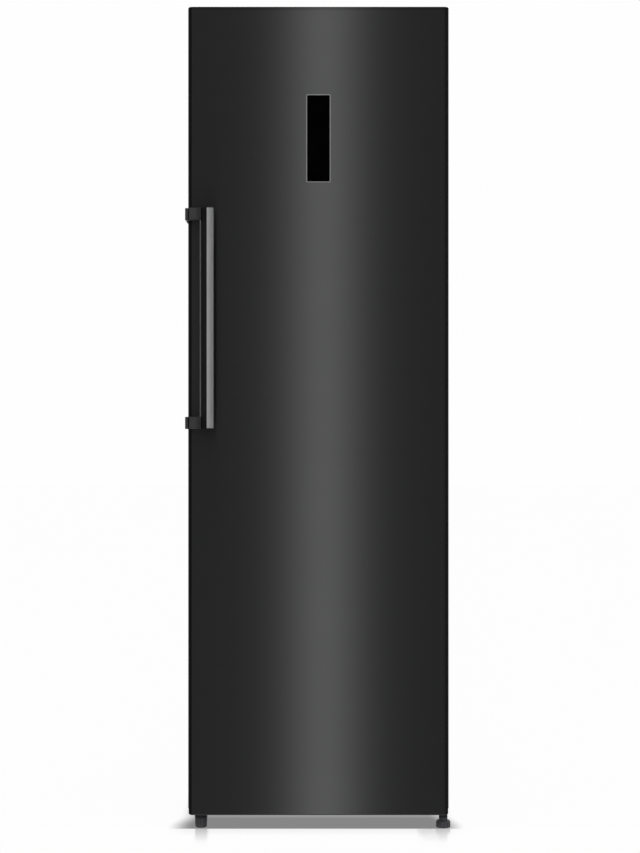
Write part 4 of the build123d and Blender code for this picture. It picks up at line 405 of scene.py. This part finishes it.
# %% Display glass
def display_glass():
    made, shader = start_finish("display_glass", IOR=1.45, Specular_IOR_Level=0.0)
    film = grain(made, 30.0, detail=2.0)
    colour = two_tones(made, spread(made, film, 0.0, 1.0), (0.0004, 0.0004, 0.0005), (0.0012, 0.0012, 0.0014))
    shade(made, shader, colour, spread(made, film, 0.05, 0.09))
    relief(made, shader, grain(made, 9.0, detail=1.0), 0.00004, 0.1)
    return made


dress(display_glass(), "display_window")


# %% Clear parts
def clear_part(title, tone, frost, wave, depth):
    made, shader = start_finish(title, IOR=1.5, Transmission_Weight=0.92)
    cloud = grain(made, 22.0, detail=2.0)
    pale = tuple(min(1.0, v * 1.05) for v in tone)
    colour = two_tones(made, spread(made, cloud, 0.0, 1.0), tone, pale)
    shade(made, shader, colour, spread(made, cloud, *frost))
    relief(made, shader, grain(made, wave, detail=2.0), depth, 0.4)
    return made


drawer_plastic = clear_part("clear_drawer", (0.86, 0.92, 0.95), (0.12, 0.22), 500.0, 0.00004)
dress(drawer_plastic, *["drawer_%d" % k for k in range(1, 7)])
shelf_glass = clear_part("shelf_glass", (0.84, 0.93, 0.91), (0.01, 0.04), 4.0, 0.00004)
dress(shelf_glass, *["shelf_%d" % k for k in range(1, 6)])
opal = moulded("opal_cover", (0.88, 0.9, 0.91), (0.35, 0.45), 800.0, 0.00002, drift=1.02,
               Transmission_Weight=0.25, Subsurface_Weight=0.2)
dress(opal, "light_cover")


# %% [markdown]
# ## The board behind the display
# It is only seen with the door cut open: a green lacquered board with a grid of copper tracks. A brick
# pattern gives straight tracks for the price of one node.


# %% Circuit board
def circuit_board():
    made, shader = start_finish("circuit_board")
    tree = made.node_tree
    place = tree.nodes.new("ShaderNodeTexCoord")
    tracks = tree.nodes.new("ShaderNodeTexBrick")
    tracks.inputs["Scale"].default_value = 160.0
    tracks.inputs["Mortar Size"].default_value = 0.03
    tracks.inputs["Color1"].default_value = (0.02, 0.12, 0.05, 1)
    tracks.inputs["Color2"].default_value = (0.03, 0.15, 0.06, 1)
    tracks.inputs["Mortar"].default_value = (0.08, 0.25, 0.1, 1)
    tree.links.new(place.outputs["Object"], tracks.inputs["Vector"])
    shade(made, shader, tracks.outputs["Color"], spread(made, grain(made, 300.0), 0.3, 0.5))
    relief(made, shader, tracks.outputs["Fac"], 0.00005, 0.5)
    return made


dress(circuit_board(), "display_board")

# %% [markdown]
# ## The handle's two faces
# In the photograph the bar has a bright satin strip towards the room and a nearly black hollow flank
# on its left. It is one extrusion: the strip was brushed lengthwise, and the finish turns nearly black on
# the flank. Splitting it in two pieces would leave a seam, so the finish itself changes at the edge, by the
# part's own X coordinate, and the brushing runs up and down. Two more fades along X are painted light:
# painted shade that darkens the strip towards its right side, and a painted highlight on the thin lip at
# the back of the flank.


# %% Handle metal
def handle_metal():
    made, shader = start_finish("handle_metal", Metallic=1.0, Anisotropic=0.5)
    low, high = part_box("handle_bar")
    strip_width, blur = 0.0156, 0.0003
    step, lip = high.x - strip_width, low.x + 0.0015
    lines = grain(made, 1.0, stretch=(2600.0, 2600.0, 6.0), detail=3.0)
    strip = two_tones(made, spread(made, lines, 0.0, 1.0), (0.6, 0.602, 0.605), (0.68, 0.682, 0.685))
    # painted shade: the strip darkens towards its right side
    strip = darker(made, strip, along(made, "X", step - 0.001, step + 0.0105, 0.0, 0.69))
    flank = darker(made, strip, along(made, "X", step - blur, step + blur, 1.0, 0.0), (0.045, 0.045, 0.047))
    # painted highlight: the thin lip at the back of the flank turns light grey
    edge = along(made, "X", lip - 0.0002, lip, 1.0, 0.0)
    colour = darker(made, flank, edge, (0.21, 0.21, 0.215))
    shade(made, shader, colour, spread(made, grain(made, 30.0), 0.3, 0.36))
    relief(made, shader, lines, 0.00001, 0.3)
    return made


dress(handle_metal(), "handle_bar")

# %% [markdown]
# ## Handle brackets
# The brackets are the same black plastic as the caps, but the eye sees more in them: the arm dives
# under the bar into its shade, and the groove between the cover and the arm is a black line of shade. Both
# are so small that lamps can't be trusted with them, so both are painted shade: the finish darkens them
# with two fades along X.


# %% Bracket finish
def bracket_finish():
    made = moulded("bracket_moulding", (0.017, 0.0172, 0.0175), (0.42, 0.56), 1700.0, 0.00006)
    shader, colour = shader_and_colour(made)
    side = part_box("side_panel_left")[0].x
    groove_from, groove_to, blur = side + 0.0028, side + 0.0062, 0.0004
    # painted shade where the arm dives under the bar
    under_bar_painted_shade = along(made, "X", side + 0.0185, side + 0.0270, 0.0, 0.95)
    # painted shade: the groove between the cover and the arm turns black
    groove_painted_shade = made.node_tree.nodes.new("ShaderNodeMath")
    groove_painted_shade.operation = "MULTIPLY"
    made.node_tree.links.new(along(made, "X", groove_from - blur, groove_from, 0.0, 1.0), groove_painted_shade.inputs[0])
    made.node_tree.links.new(along(made, "X", groove_to, groove_to + blur, 1.0, 0.0), groove_painted_shade.inputs[1])
    shade(made, shader, darker(made, darker(made, colour, under_bar_painted_shade), groove_painted_shade.outputs[0]))
    return made


dress(bracket_finish(), "handle_bracket_lower", "handle_bracket_upper")
missing = sorted(set(nodes) - set(dressed))
print("frame pieces without a finish:", missing)

# %% [markdown]
# ## New pieces
# The frame has no trims, grips or louvres. Each one below is made with bmesh: a few corners or a
# primitive, then extrude, bevel, solidify or spin. The mesh is put where it belongs, in metres, and the
# object itself stays at the origin, so that a pattern in Object coordinates sits still.


# %% Turning a bmesh into a piece
def linked(name, bm):
    """A bmesh as an object at the origin, in the scene."""
    mesh = bpy.data.meshes.new(name)
    bm.to_mesh(mesh)
    bm.free()
    piece = bpy.data.objects.new(name, mesh)
    scene.collection.objects.link(piece)
    return piece


def turned_edges(bm, degrees):
    """The edges between two faces that turn by more than the given angle."""
    return [e for e in bm.edges if len(e.link_faces) == 2 and e.calc_face_angle(0.0) > math.radians(degrees)]


def add_piece(name, bm, made, body, smooth=40.0):
    """Finish a bmesh as a named piece that rides on a body of the frame."""
    bmesh.ops.remove_doubles(bm, verts=bm.verts, dist=0.000005)
    bmesh.ops.recalc_face_normals(bm, faces=bm.faces)
    for face in bm.faces:
        face.smooth = True
    for edge in turned_edges(bm, smooth):
        edge.smooth = False
    piece = linked(name, bm)
    piece.data.materials.append(made)
    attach(piece, body)
    return piece


def new_verts(drawn):
    """The vertices that an extrude has just made."""
    return [v for v in drawn["geom"] if isinstance(v, bmesh.types.BMVert)]


def swept_sheet(outline, x_low, x_high, wall):
    """A bent sheet: corners (y, z) of its section are drawn along X and given a wall."""
    bm = bmesh.new()
    corners = [bm.verts.new((x_low, y, z)) for y, z in outline]
    edges = [bm.edges.new(pair) for pair in zip(corners, corners[1:])]
    drawn = bmesh.ops.extrude_edge_only(bm, edges=edges)
    bmesh.ops.translate(bm, verts=new_verts(drawn), vec=(x_high - x_low, 0, 0))
    bmesh.ops.recalc_face_normals(bm, faces=bm.faces)
    bmesh.ops.solidify(bm, geom=bm.faces[:], thickness=wall)
    return bm


def soften(bm, width, segments=2, sharper=30.0):
    """Round every edge that turns by more than the given angle."""
    bmesh.ops.bevel(bm, geom=turned_edges(bm, sharper), offset=width, offset_type="OFFSET", affect="EDGES",
                    segments=segments, profile=0.5, clamp_overlap=True, material=-1)


# %% [markdown]
# ## Trims on the glass shelves
# Cut glass is never left with a bare front edge. A white extrusion is pushed over it: a low lip in
# front and a flange under the glass. It must not rise above the glass, because the drawer above slides
# over it.

# %% Shelf trims
flange_depth, trim_from_ends, trim_wall = 0.016, 0.012, 0.0011
for k in range(1, 6):
    low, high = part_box("shelf_%d" % k)
    section = [(low.y + flange_depth, low.z - 0.0013), (low.y - 0.0006, low.z - 0.0013),
               (low.y - 0.0016, low.z - 0.0003), (low.y - 0.0016, high.z - 0.0012),
               (low.y - 0.0006, high.z - 0.0004)]
    bm = swept_sheet(section, low.x + trim_from_ends, high.x - trim_from_ends, trim_wall)
    soften(bm, 0.0003)
    trim = add_piece("shelf_trim_%d" % k, bm, tray_plastic, "cabinet")
print("shelf trim section:", len(section), "corners,", len(trim.data.polygons), "faces")

# %% [markdown]
# ## Grips on the drawers
# Each drawer has a pull lip moulded in one with its front. A satin grey grip is clipped on it, crowned
# towards the hand, and wraps under the lip so that the fingers don't meet a sharp edge.

# %% Drawer grips
pull_half = 0.1875          # half the length of the pull under the grip
pull_below_rim = 0.014      # drawer's rim to the top of its pull
grip_height, grip_crown, grip_steps = 0.0295, 0.0022, 8
for k in range(1, 7):
    low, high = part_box("drawer_%d" % k)
    top, front = high.z - pull_below_rim, low.y
    arc = [(front - 0.0004 - grip_crown * math.sin(math.pi * t / grip_steps),
            top - 0.0005 - grip_height * t / grip_steps) for t in range(grip_steps + 1)]
    section = arc + [(front - 0.0002, top - 0.0312), (front + 0.0026, top - 0.0312)]
    bm = swept_sheet(section, -pull_half + 0.002, pull_half - 0.002, 0.0008)
    soften(bm, 0.0003, sharper=50.0)
    grip = add_piece("drawer_grip_%d" % k, bm, bezel_plastic, "drawer_%d_body" % k)
print("drawer grips: 6, each", round(2 * pull_half, 3), "m long")

# %% [markdown]
# ## A raised frame on every drawer front
# A large flat panel of clear plastic looks wavy, so makers mould a raised frame into it. The frame is a
# face with its border inset, its core taken away and the rest pulled forward, with rounded edges. It
# stays behind the pull.

# %% Drawer frames
pull_reach = 0.014          # the pull stands this far in front of the drawer's face
rim_from_sides, rim_below_pull = 0.012, 0.052
rim_width, rim_rise, rim_round = 0.006, 0.0014, 0.0005
for k in range(1, 7):
    low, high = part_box("drawer_%d" % k)
    face_y, half = low.y + pull_reach, high.x - rim_from_sides
    bottom, top = low.z + rim_from_sides, high.z - rim_below_pull
    bm = bmesh.new()
    bmesh.ops.create_grid(bm, x_segments=1, y_segments=1, size=0.5)
    bmesh.ops.scale(bm, verts=bm.verts, vec=(2 * half, top - bottom, 1))
    bmesh.ops.rotate(bm, verts=bm.verts, cent=(0, 0, 0), matrix=Matrix.Rotation(math.radians(90), 3, "X"))
    bmesh.ops.translate(bm, verts=bm.verts, vec=(0, face_y - 0.0002, (top + bottom) / 2))
    rim_faces = bmesh.ops.inset_region(bm, faces=bm.faces[:], use_boundary=True, use_even_offset=True,
                                       thickness=rim_width, depth=0.0)["faces"]
    core = [f for f in bm.faces if f not in rim_faces]
    bmesh.ops.delete(bm, geom=core, context="FACES")
    bmesh.ops.recalc_face_normals(bm, faces=bm.faces)
    drawn = bmesh.ops.extrude_face_region(bm, geom=bm.faces[:])
    bmesh.ops.translate(bm, verts=new_verts(drawn), vec=(0, -rim_rise, 0))
    soften(bm, rim_round, 3)
    rim = add_piece("drawer_frame_%d" % k, bm, drawer_plastic, "drawer_%d_body" % k)
print("drawer frames: 6, faces each", len(rim.data.polygons))

# %% [markdown]
# ## Cross recesses in the handle's screws
# One screw holds each bracket's foot to the side of the door. From the side its head shows, and a head
# without its cross looks like a rivet. A cross is two thin blocks, rounded and joined, in a black finish,
# standing a hair out of the head: painted shade, a dark shape put where a real cut would hold only shade.

# %% Screw crosses
head_radius, cross_long, cross_wide, cross_thick = 0.0044, 0.0052, 0.0011, 0.0003
low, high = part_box("handle_screws")
for name, z in (("lower", low.z + head_radius), ("upper", high.z - head_radius)):
    bm = bmesh.new()
    for long_y, long_z in ((cross_long, cross_wide), (cross_wide, cross_long)):
        bar = bmesh.ops.create_cube(bm, size=1.0)
        bmesh.ops.scale(bm, verts=bar["verts"], vec=(cross_thick, long_y, long_z))
    bmesh.ops.translate(bm, verts=bm.verts, vec=(low.x + 0.0001, (low.y + high.y) / 2, z))
    soften(bm, 0.0001, 1)
    # painted shade: a black cross stands for the shade inside the recess
    add_piece("handle_screw_cross_" + name, bm, mount_rubber, "door")
print("screw crosses at z", round(low.z + head_radius, 4), "and", round(high.z - head_radius, 4))

# %% [markdown]
# ## Louvres behind the vent slots
# The rear cover's slots would let a finger through to the compressor, so a slanting flap stands behind
# each one. Thirty-six flaps are one bent strip, copied on a grid.

# %% Rear louvres
columns, rows = 4, 9
column_pitch, row_pitch, flap_half, flap_wall = 0.082, 0.016, 0.032, 0.0008
low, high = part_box("bay_cover")
middle_x, middle_z = 0.041, (low.z + high.z) / 2
bm = bmesh.new()
for column in range(columns):
    for row in range(rows):
        x = middle_x + (column - (columns - 1) / 2) * column_pitch
        z = middle_z + (row - (rows - 1) / 2) * row_pitch
        section = [(low.y - 0.0006, z + 0.0042), (low.y - 0.0026, z + 0.0036), (low.y - 0.0068, z - 0.0034)]
        flap = swept_sheet(section, x - flap_half, x + flap_half, flap_wall)
        mesh = bpy.data.meshes.new("flap")
        flap.to_mesh(mesh)
        flap.free()
        bm.from_mesh(mesh)
        bpy.data.meshes.remove(mesh)
louvres = add_piece("bay_cover_louvres", bm, grey_plastic, "cabinet")
print("louvres:", columns * rows, "flaps,", len(louvres.data.polygons), "faces")

# %% [markdown]
# ## Ring round the fan's grille
# The radial slots in the air duct are framed by a shallow moulded ring, which stiffens the cover there.
# A half-round section is spun a full turn, with the seam merged.

# %% Fan ring
ring_radius, ring_half_width, ring_rise, corners = 0.0575, 0.0022, 0.0016, 7
fan_low, fan_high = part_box("fan_rotor")
duct_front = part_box("duct_cover")[0].y
fan_z = (fan_low.z + fan_high.z) / 2
bm = bmesh.new()
for t in range(corners):
    a = math.pi * t / (corners - 1)
    bm.verts.new((ring_radius + ring_half_width * math.cos(a),
                  duct_front + 0.0001 - ring_rise * math.sin(a), fan_z))
bm.verts.ensure_lookup_table()
edges = [bm.edges.new((bm.verts[i], bm.verts[(i + 1) % corners])) for i in range(corners)]
bmesh.ops.spin(bm, geom=bm.verts[:] + edges, cent=(0, duct_front, fan_z), axis=(0, 1, 0),
               angle=math.radians(360), steps=64, use_merge=True)
ring = add_piece("fan_grille_ring", bm, liner_plastic, "cabinet", smooth=60.0)
print("fan ring radius", ring_radius, "m at height", round(fan_z, 4))

# %% [markdown]
# ## The white room
# The photograph has no horizon: paper-white everywhere, and only a soft shadow under the freezer. The
# world gives that white to the eye and to reflections. For light that falls on the parts it is a little
# weaker, and one large lamp above the camera adds the rest, so that the forms keep a direction.


# %% Small tools for the room's shaders
def combined(tree, operation, first, second=None, number=None):
    """One step of arithmetic on a coordinate or a mask: with a second one, or with a number."""
    step = tree.nodes.new("ShaderNodeMath")
    step.operation = operation
    tree.links.new(first, step.inputs[0])
    if second is not None:
        tree.links.new(second, step.inputs[1])
    if number is not None:
        step.inputs[1].default_value = number
    return step.outputs[0]


def blended(tree, amount, first, second):
    """Two shaders mixed: the first at 0, the second at 1."""
    mixed = tree.nodes.new("ShaderNodeMixShader")
    tree.links.new(amount, mixed.inputs["Fac"])
    tree.links.new(first, mixed.inputs[1])
    tree.links.new(second, mixed.inputs[2])
    return mixed.outputs[0]


def glowing(tree, strength=1.0):
    """A lamp shader, with the node itself for anything that drives its colour or strength."""
    glow = tree.nodes.new("ShaderNodeEmission")
    glow.inputs["Strength"].default_value = strength
    return glow


def finish_tree(tree, shader, kind="ShaderNodeOutputMaterial"):
    """Send a shader to the material's or the world's surface."""
    tree.links.new(shader, tree.nodes.new(kind).inputs["Surface"])


# %% World
world_light, world_seen = 0.8, 1.0
world = bpy.data.worlds.new("white_room")
scene.world = world
world.use_nodes = True
tree = world.node_tree
tree.nodes.clear()
path = tree.nodes.new("ShaderNodeLightPath")
seen = combined(tree, "MAXIMUM", path.outputs["Is Camera Ray"], path.outputs["Is Glossy Ray"])
seen = combined(tree, "MAXIMUM", seen, path.outputs["Is Transmission Ray"])
lighting = tree.nodes.new("ShaderNodeBackground")
lighting.inputs["Strength"].default_value = world_light
backdrop = tree.nodes.new("ShaderNodeBackground")
backdrop.inputs["Color"].default_value = (0.99, 0.99, 0.99, 1)
backdrop.inputs["Strength"].default_value = world_seen
finish_tree(tree, blended(tree, seen, lighting.outputs[0], backdrop.outputs[0]), "ShaderNodeOutputWorld")
print("world light", world_light, "and world seen", world_seen)

# %% Overhead lamp
lamp_data = bpy.data.lights.new("overhead", "AREA")
lamp_data.shape = "RECTANGLE"
lamp_data.size, lamp_data.size_y = 3.0, 1.6
lamp_data.energy = 55.0
lamp = bpy.data.objects.new("overhead", lamp_data)
lamp.location = (0.0, -3.4, 3.6)
lamp_aim = Vector((0, -0.3, 0.9))
lamp.rotation_euler = (lamp_aim - lamp.location).to_track_quat("-Z", "Y").to_euler()
lamp.visible_glossy = False
scene.collection.objects.link(lamp)
print("overhead lamp", lamp_data.energy, "W")

# %% [markdown]
# ## What the metal sees
# Metal has no colour of its own to speak of: it shows the room. The door in the photograph has a soft
# bright band down its middle and falls off to a dull grey, so the room in front of it was dim except for
# one tall light. Two things that only reflections can see make that: a curved grey wall round the front,
# and a tall strip light whose brightness fades to its sides.


# %% Reflection card helper
def reflection_only(piece):
    """A card that only mirror-like rays can see: no shadow, no light on matt surfaces."""
    piece.visible_camera = False
    piece.visible_diffuse = False
    piece.visible_transmission = False
    piece.visible_volume_scatter = False
    piece.visible_shadow = False
    piece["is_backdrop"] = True


def card_material(title):
    made = bpy.data.materials.new(title)
    made.use_nodes = True
    made.cycles.emission_sampling = "NONE"
    made.node_tree.nodes.clear()
    return made, made.node_tree


# %% Grey wall round the front
wall_radius, wall_low, wall_high = 6.0, -9.0, 14.0
bm = bmesh.new()
bmesh.ops.create_circle(bm, cap_ends=False, segments=96, radius=wall_radius)
drawn = bmesh.ops.extrude_edge_only(bm, edges=bm.edges[:])
bmesh.ops.translate(bm, verts=bm.verts, vec=(0, 0, wall_low))
bmesh.ops.translate(bm, verts=new_verts(drawn), vec=(0, 0, wall_high - wall_low))
wall = linked("grey_wall", bm)
made, tree = card_material("grey_wall")
place = tree.nodes.new("ShaderNodeTexCoord")
turn = tree.nodes.new("ShaderNodeMapping")
turn.inputs["Rotation"].default_value = (0, 0, math.radians(90))
round_way = tree.nodes.new("ShaderNodeTexGradient")
round_way.gradient_type = "RADIAL"
tones = tree.nodes.new("ShaderNodeValToRGB")
tree.links.new(place.outputs["Object"], turn.inputs["Vector"])
tree.links.new(turn.outputs["Vector"], round_way.inputs["Vector"])
tree.links.new(round_way.outputs["Fac"], tones.inputs["Fac"])
# Brightness against the angle from straight in front, in degrees, from left to right.
wall_left = [(-180, 1.0), (-150, 0.8), (-115, 0.24), (-90, 0.15), (-60, 0.15), (-38, 0.27),
             (-20, 0.55), (-11, 0.44)]
wall_right = [(0, 0.42), (12, 0.43), (22, 0.36), (40, 0.3), (62, 0.24), (90, 0.18), (115, 0.24),
              (150, 0.8), (180, 1.0)]
ramp = tones.color_ramp
stops = [(0.5 + angle / 360, value) for angle, value in wall_left + wall_right]
while len(ramp.elements) < len(stops):
    ramp.elements.new(0.5)
for element, (where, value) in zip(ramp.elements, stops):
    element.position = where
    element.color = (value, value, value, 1)
glow = glowing(tree)
tree.links.new(tones.outputs["Color"], glow.inputs["Color"])
finish_tree(tree, glow.outputs[0])
wall.data.materials.append(made)
reflection_only(wall)
print("grey wall:", len(stops), "steps round the circle")

# %% Tall strip light
strip_x, strip_y, strip_half, strip_glow = 0.015, -1.3, 0.18, 4.5
bm = bmesh.new()
bmesh.ops.create_grid(bm, x_segments=1, y_segments=1, size=0.5)
bmesh.ops.scale(bm, verts=bm.verts, vec=(1.2, 16.0, 1))
bmesh.ops.rotate(bm, verts=bm.verts, cent=(0, 0, 0), matrix=Matrix.Rotation(math.radians(90), 3, "X"))
bmesh.ops.translate(bm, verts=bm.verts, vec=(strip_x, strip_y, 1.0))
strip_light = linked("strip_light", bm)
made, tree = card_material("strip_light")
place = tree.nodes.new("ShaderNodeTexCoord")
turn = tree.nodes.new("ShaderNodeMapping")
turn.inputs["Location"].default_value = (-strip_x / strip_half, 0, 0)
turn.inputs["Scale"].default_value = (1 / strip_half, 0.0, 0.0)
bell = tree.nodes.new("ShaderNodeTexGradient")
bell.gradient_type = "QUADRATIC_SPHERE"
tree.links.new(place.outputs["Object"], turn.inputs["Vector"])
tree.links.new(turn.outputs["Vector"], bell.inputs["Vector"])
clear = tree.nodes.new("ShaderNodeBsdfTransparent")
finish_tree(tree, blended(tree, bell.outputs["Fac"], clear.outputs[0], glowing(tree, strip_glow).outputs[0]))
strip_light.data.materials.append(made)
reflection_only(strip_light)
print("strip light: half width", strip_half, "m, strength", strip_glow)

# %% [markdown]
# ## The floor
# The floor is white paper with a slight gloss: the feet mirror in it faintly, and a painted shadow
# darkens it under the cabinet. A lamp-made shadow would be too soft and too pale in so white a room, so
# the eye is shown a paper whose brightness changes with its place: a painted shadow under the cabinet
# with soft sides, and a paler painted shade in a margin in front of it. Light that bounces to the parts
# sees ordinary white paper.

# %% Floor sheet
floor_half = 20.0
bm = bmesh.new()
bmesh.ops.create_grid(bm, x_segments=1, y_segments=1, size=floor_half)
floor = linked("floor", bm)
floor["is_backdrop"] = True
floor.visible_glossy = False
made = bpy.data.materials.new("white_paper")
made.use_nodes = True
tree = made.node_tree
tree.nodes.clear()
place = tree.nodes.new("ShaderNodeTexCoord")
axes = tree.nodes.new("ShaderNodeSeparateXYZ")
tree.links.new(place.outputs["Object"], axes.inputs["Vector"])
across, along_room = axes.outputs["X"], axes.outputs["Y"]
print("floor", round(2 * floor_half), "m square")


# %% Where the painted shadow lies on the paper
def ranged(value, start, end, low, high):
    """A smooth step of one coordinate: low before start, high after end."""
    step = tree.nodes.new("ShaderNodeMapRange")
    step.interpolation_type = "SMOOTHSTEP"
    for name, number in (("From Min", start), ("From Max", end), ("To Min", low), ("To Max", high)):
        step.inputs[name].default_value = number
    tree.links.new(value, step.inputs["Value"])
    return step.outputs["Result"]


# Every pair says where a change starts and where it ends, in metres on the floor. The patch is painted
# shadow under the cabinet, and the margin is painted shade in front of it.
painted_shadow_side, painted_shadow_front, painted_shadow_back = (0.281, 0.345), (-0.2875, -0.2815), (0.30, 0.42)
painted_margin_span, painted_margin_dark = (-0.352, -0.282), 0.16
white, painted_shadow_tone_front, painted_shadow_tone_back = 0.965, 0.235, 0.33
narrow_from, narrow_to, narrow_by = -0.26, -0.17, 0.02
painted_shadow_shift, painted_shadow_tone_span = 0.005, (-0.196, -0.168)
narrowing = ranged(along_room, narrow_from, narrow_to, 0.0, narrow_by)
off_middle = combined(tree, "ABSOLUTE", combined(tree, "ADD", across, number=painted_shadow_shift))
aside = ranged(combined(tree, "ADD", off_middle, narrowing), *painted_shadow_side, 1.0, 0.0)
ahead = ranged(along_room, *painted_shadow_front, 0.0, 1.0)
behind = ranged(along_room, *painted_shadow_back, 1.0, 0.0)
# painted shadow: the mask of the dark patch under the cabinet
under = combined(tree, "MULTIPLY", combined(tree, "MULTIPLY", aside, ahead), behind)
# painted shade: the paler margin in front of the patch
painted_margin_shade = combined(tree, "MULTIPLY", combined(tree, "MULTIPLY", aside, behind),
                  ranged(along_room, *painted_margin_span, 0.0, painted_margin_dark))
paper_less_margin_shade = tree.nodes.new("ShaderNodeMath")
paper_less_margin_shade.operation = "SUBTRACT"
paper_less_margin_shade.inputs[0].default_value = white
tree.links.new(painted_margin_shade, paper_less_margin_shade.inputs[1])
paper = tree.nodes.new("ShaderNodeMix")
tree.links.new(under, paper.inputs["Factor"])
tree.links.new(paper_less_margin_shade.outputs[0], paper.inputs["A"])
tree.links.new(ranged(along_room, *painted_shadow_tone_span, painted_shadow_tone_front, painted_shadow_tone_back), paper.inputs["B"])
print("paper brightness:", white, "in the open,", painted_shadow_tone_front, "to", painted_shadow_tone_back, "under the cabinet")

# %% What the eye sees of the paper
glow = glowing(tree)
tree.links.new(paper.outputs["Result"], glow.inputs["Strength"])
shadowed = tree.nodes.new("ShaderNodeBsdfDiffuse")
shadowed.inputs["Color"].default_value = (0.03, 0.03, 0.03, 1)
face = tree.nodes.new("ShaderNodeAddShader")
tree.links.new(glow.outputs[0], face.inputs[0])
tree.links.new(shadowed.outputs[0], face.inputs[1])
mirror = tree.nodes.new("ShaderNodeBsdfGlossy")
mirror.inputs["Color"].default_value = (1, 1, 1, 1)
mirror.inputs["Roughness"].default_value = 0.2
mirror_start, mirror_end, mirror_most = (-0.47, -0.27), (-0.2865, -0.2825), 0.36
mirrored = combined(tree, "MULTIPLY", ranged(along_room, *mirror_start, 0.0, mirror_most),
                    ranged(along_room, *mirror_end, 1.0, 0.0))
seen_floor = blended(tree, mirrored, face.outputs[0], mirror.outputs[0])
plain = tree.nodes.new("ShaderNodeBsdfDiffuse")
plain.inputs["Color"].default_value = (0.8, 0.8, 0.8, 1)
path = tree.nodes.new("ShaderNodeLightPath")
eye = combined(tree, "MAXIMUM", path.outputs["Is Camera Ray"], path.outputs["Is Transmission Ray"])
finish_tree(tree, blended(tree, eye, plain.outputs[0], seen_floor))
made.cycles.emission_sampling = "NONE"
floor.data.materials.append(made)
print("the feet mirror in the paper up to", mirror_most)

# %% [markdown]
# ## A card to hide the door from the paper
# The whole dark door would mirror in the glossy paper, but the photograph shows only the feet there. A
# thin card below the door's height stops that. It can be seen only from beneath and only in
# reflections, where it glows as white as the room.

# %% Card below the door's height
card_height = 0.0315
bm = bmesh.new()
bmesh.ops.create_grid(bm, x_segments=1, y_segments=1, size=18.0)
bmesh.ops.translate(bm, verts=bm.verts, vec=(0, 0, card_height))
low_card = linked("low_card", bm)
made, tree = card_material("low_card")
side = tree.nodes.new("ShaderNodeNewGeometry")
clear = tree.nodes.new("ShaderNodeBsdfTransparent")
finish_tree(tree, blended(tree, side.outputs["Backfacing"], clear.outputs[0], glowing(tree).outputs[0]))
low_card.data.materials.append(made)
reflection_only(low_card)
print("low card at", card_height, "m")

# %% [markdown]
# ## Closing the lesson
# The finished model's box is printed: every shown piece counts, while the floor and the reflection
# cards do not. The looks may not make the object any bigger than its exact shape.

# %% Sizes and finish
low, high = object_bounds()
print("visual box", [round(v, 4) for v in (*low, *high)])
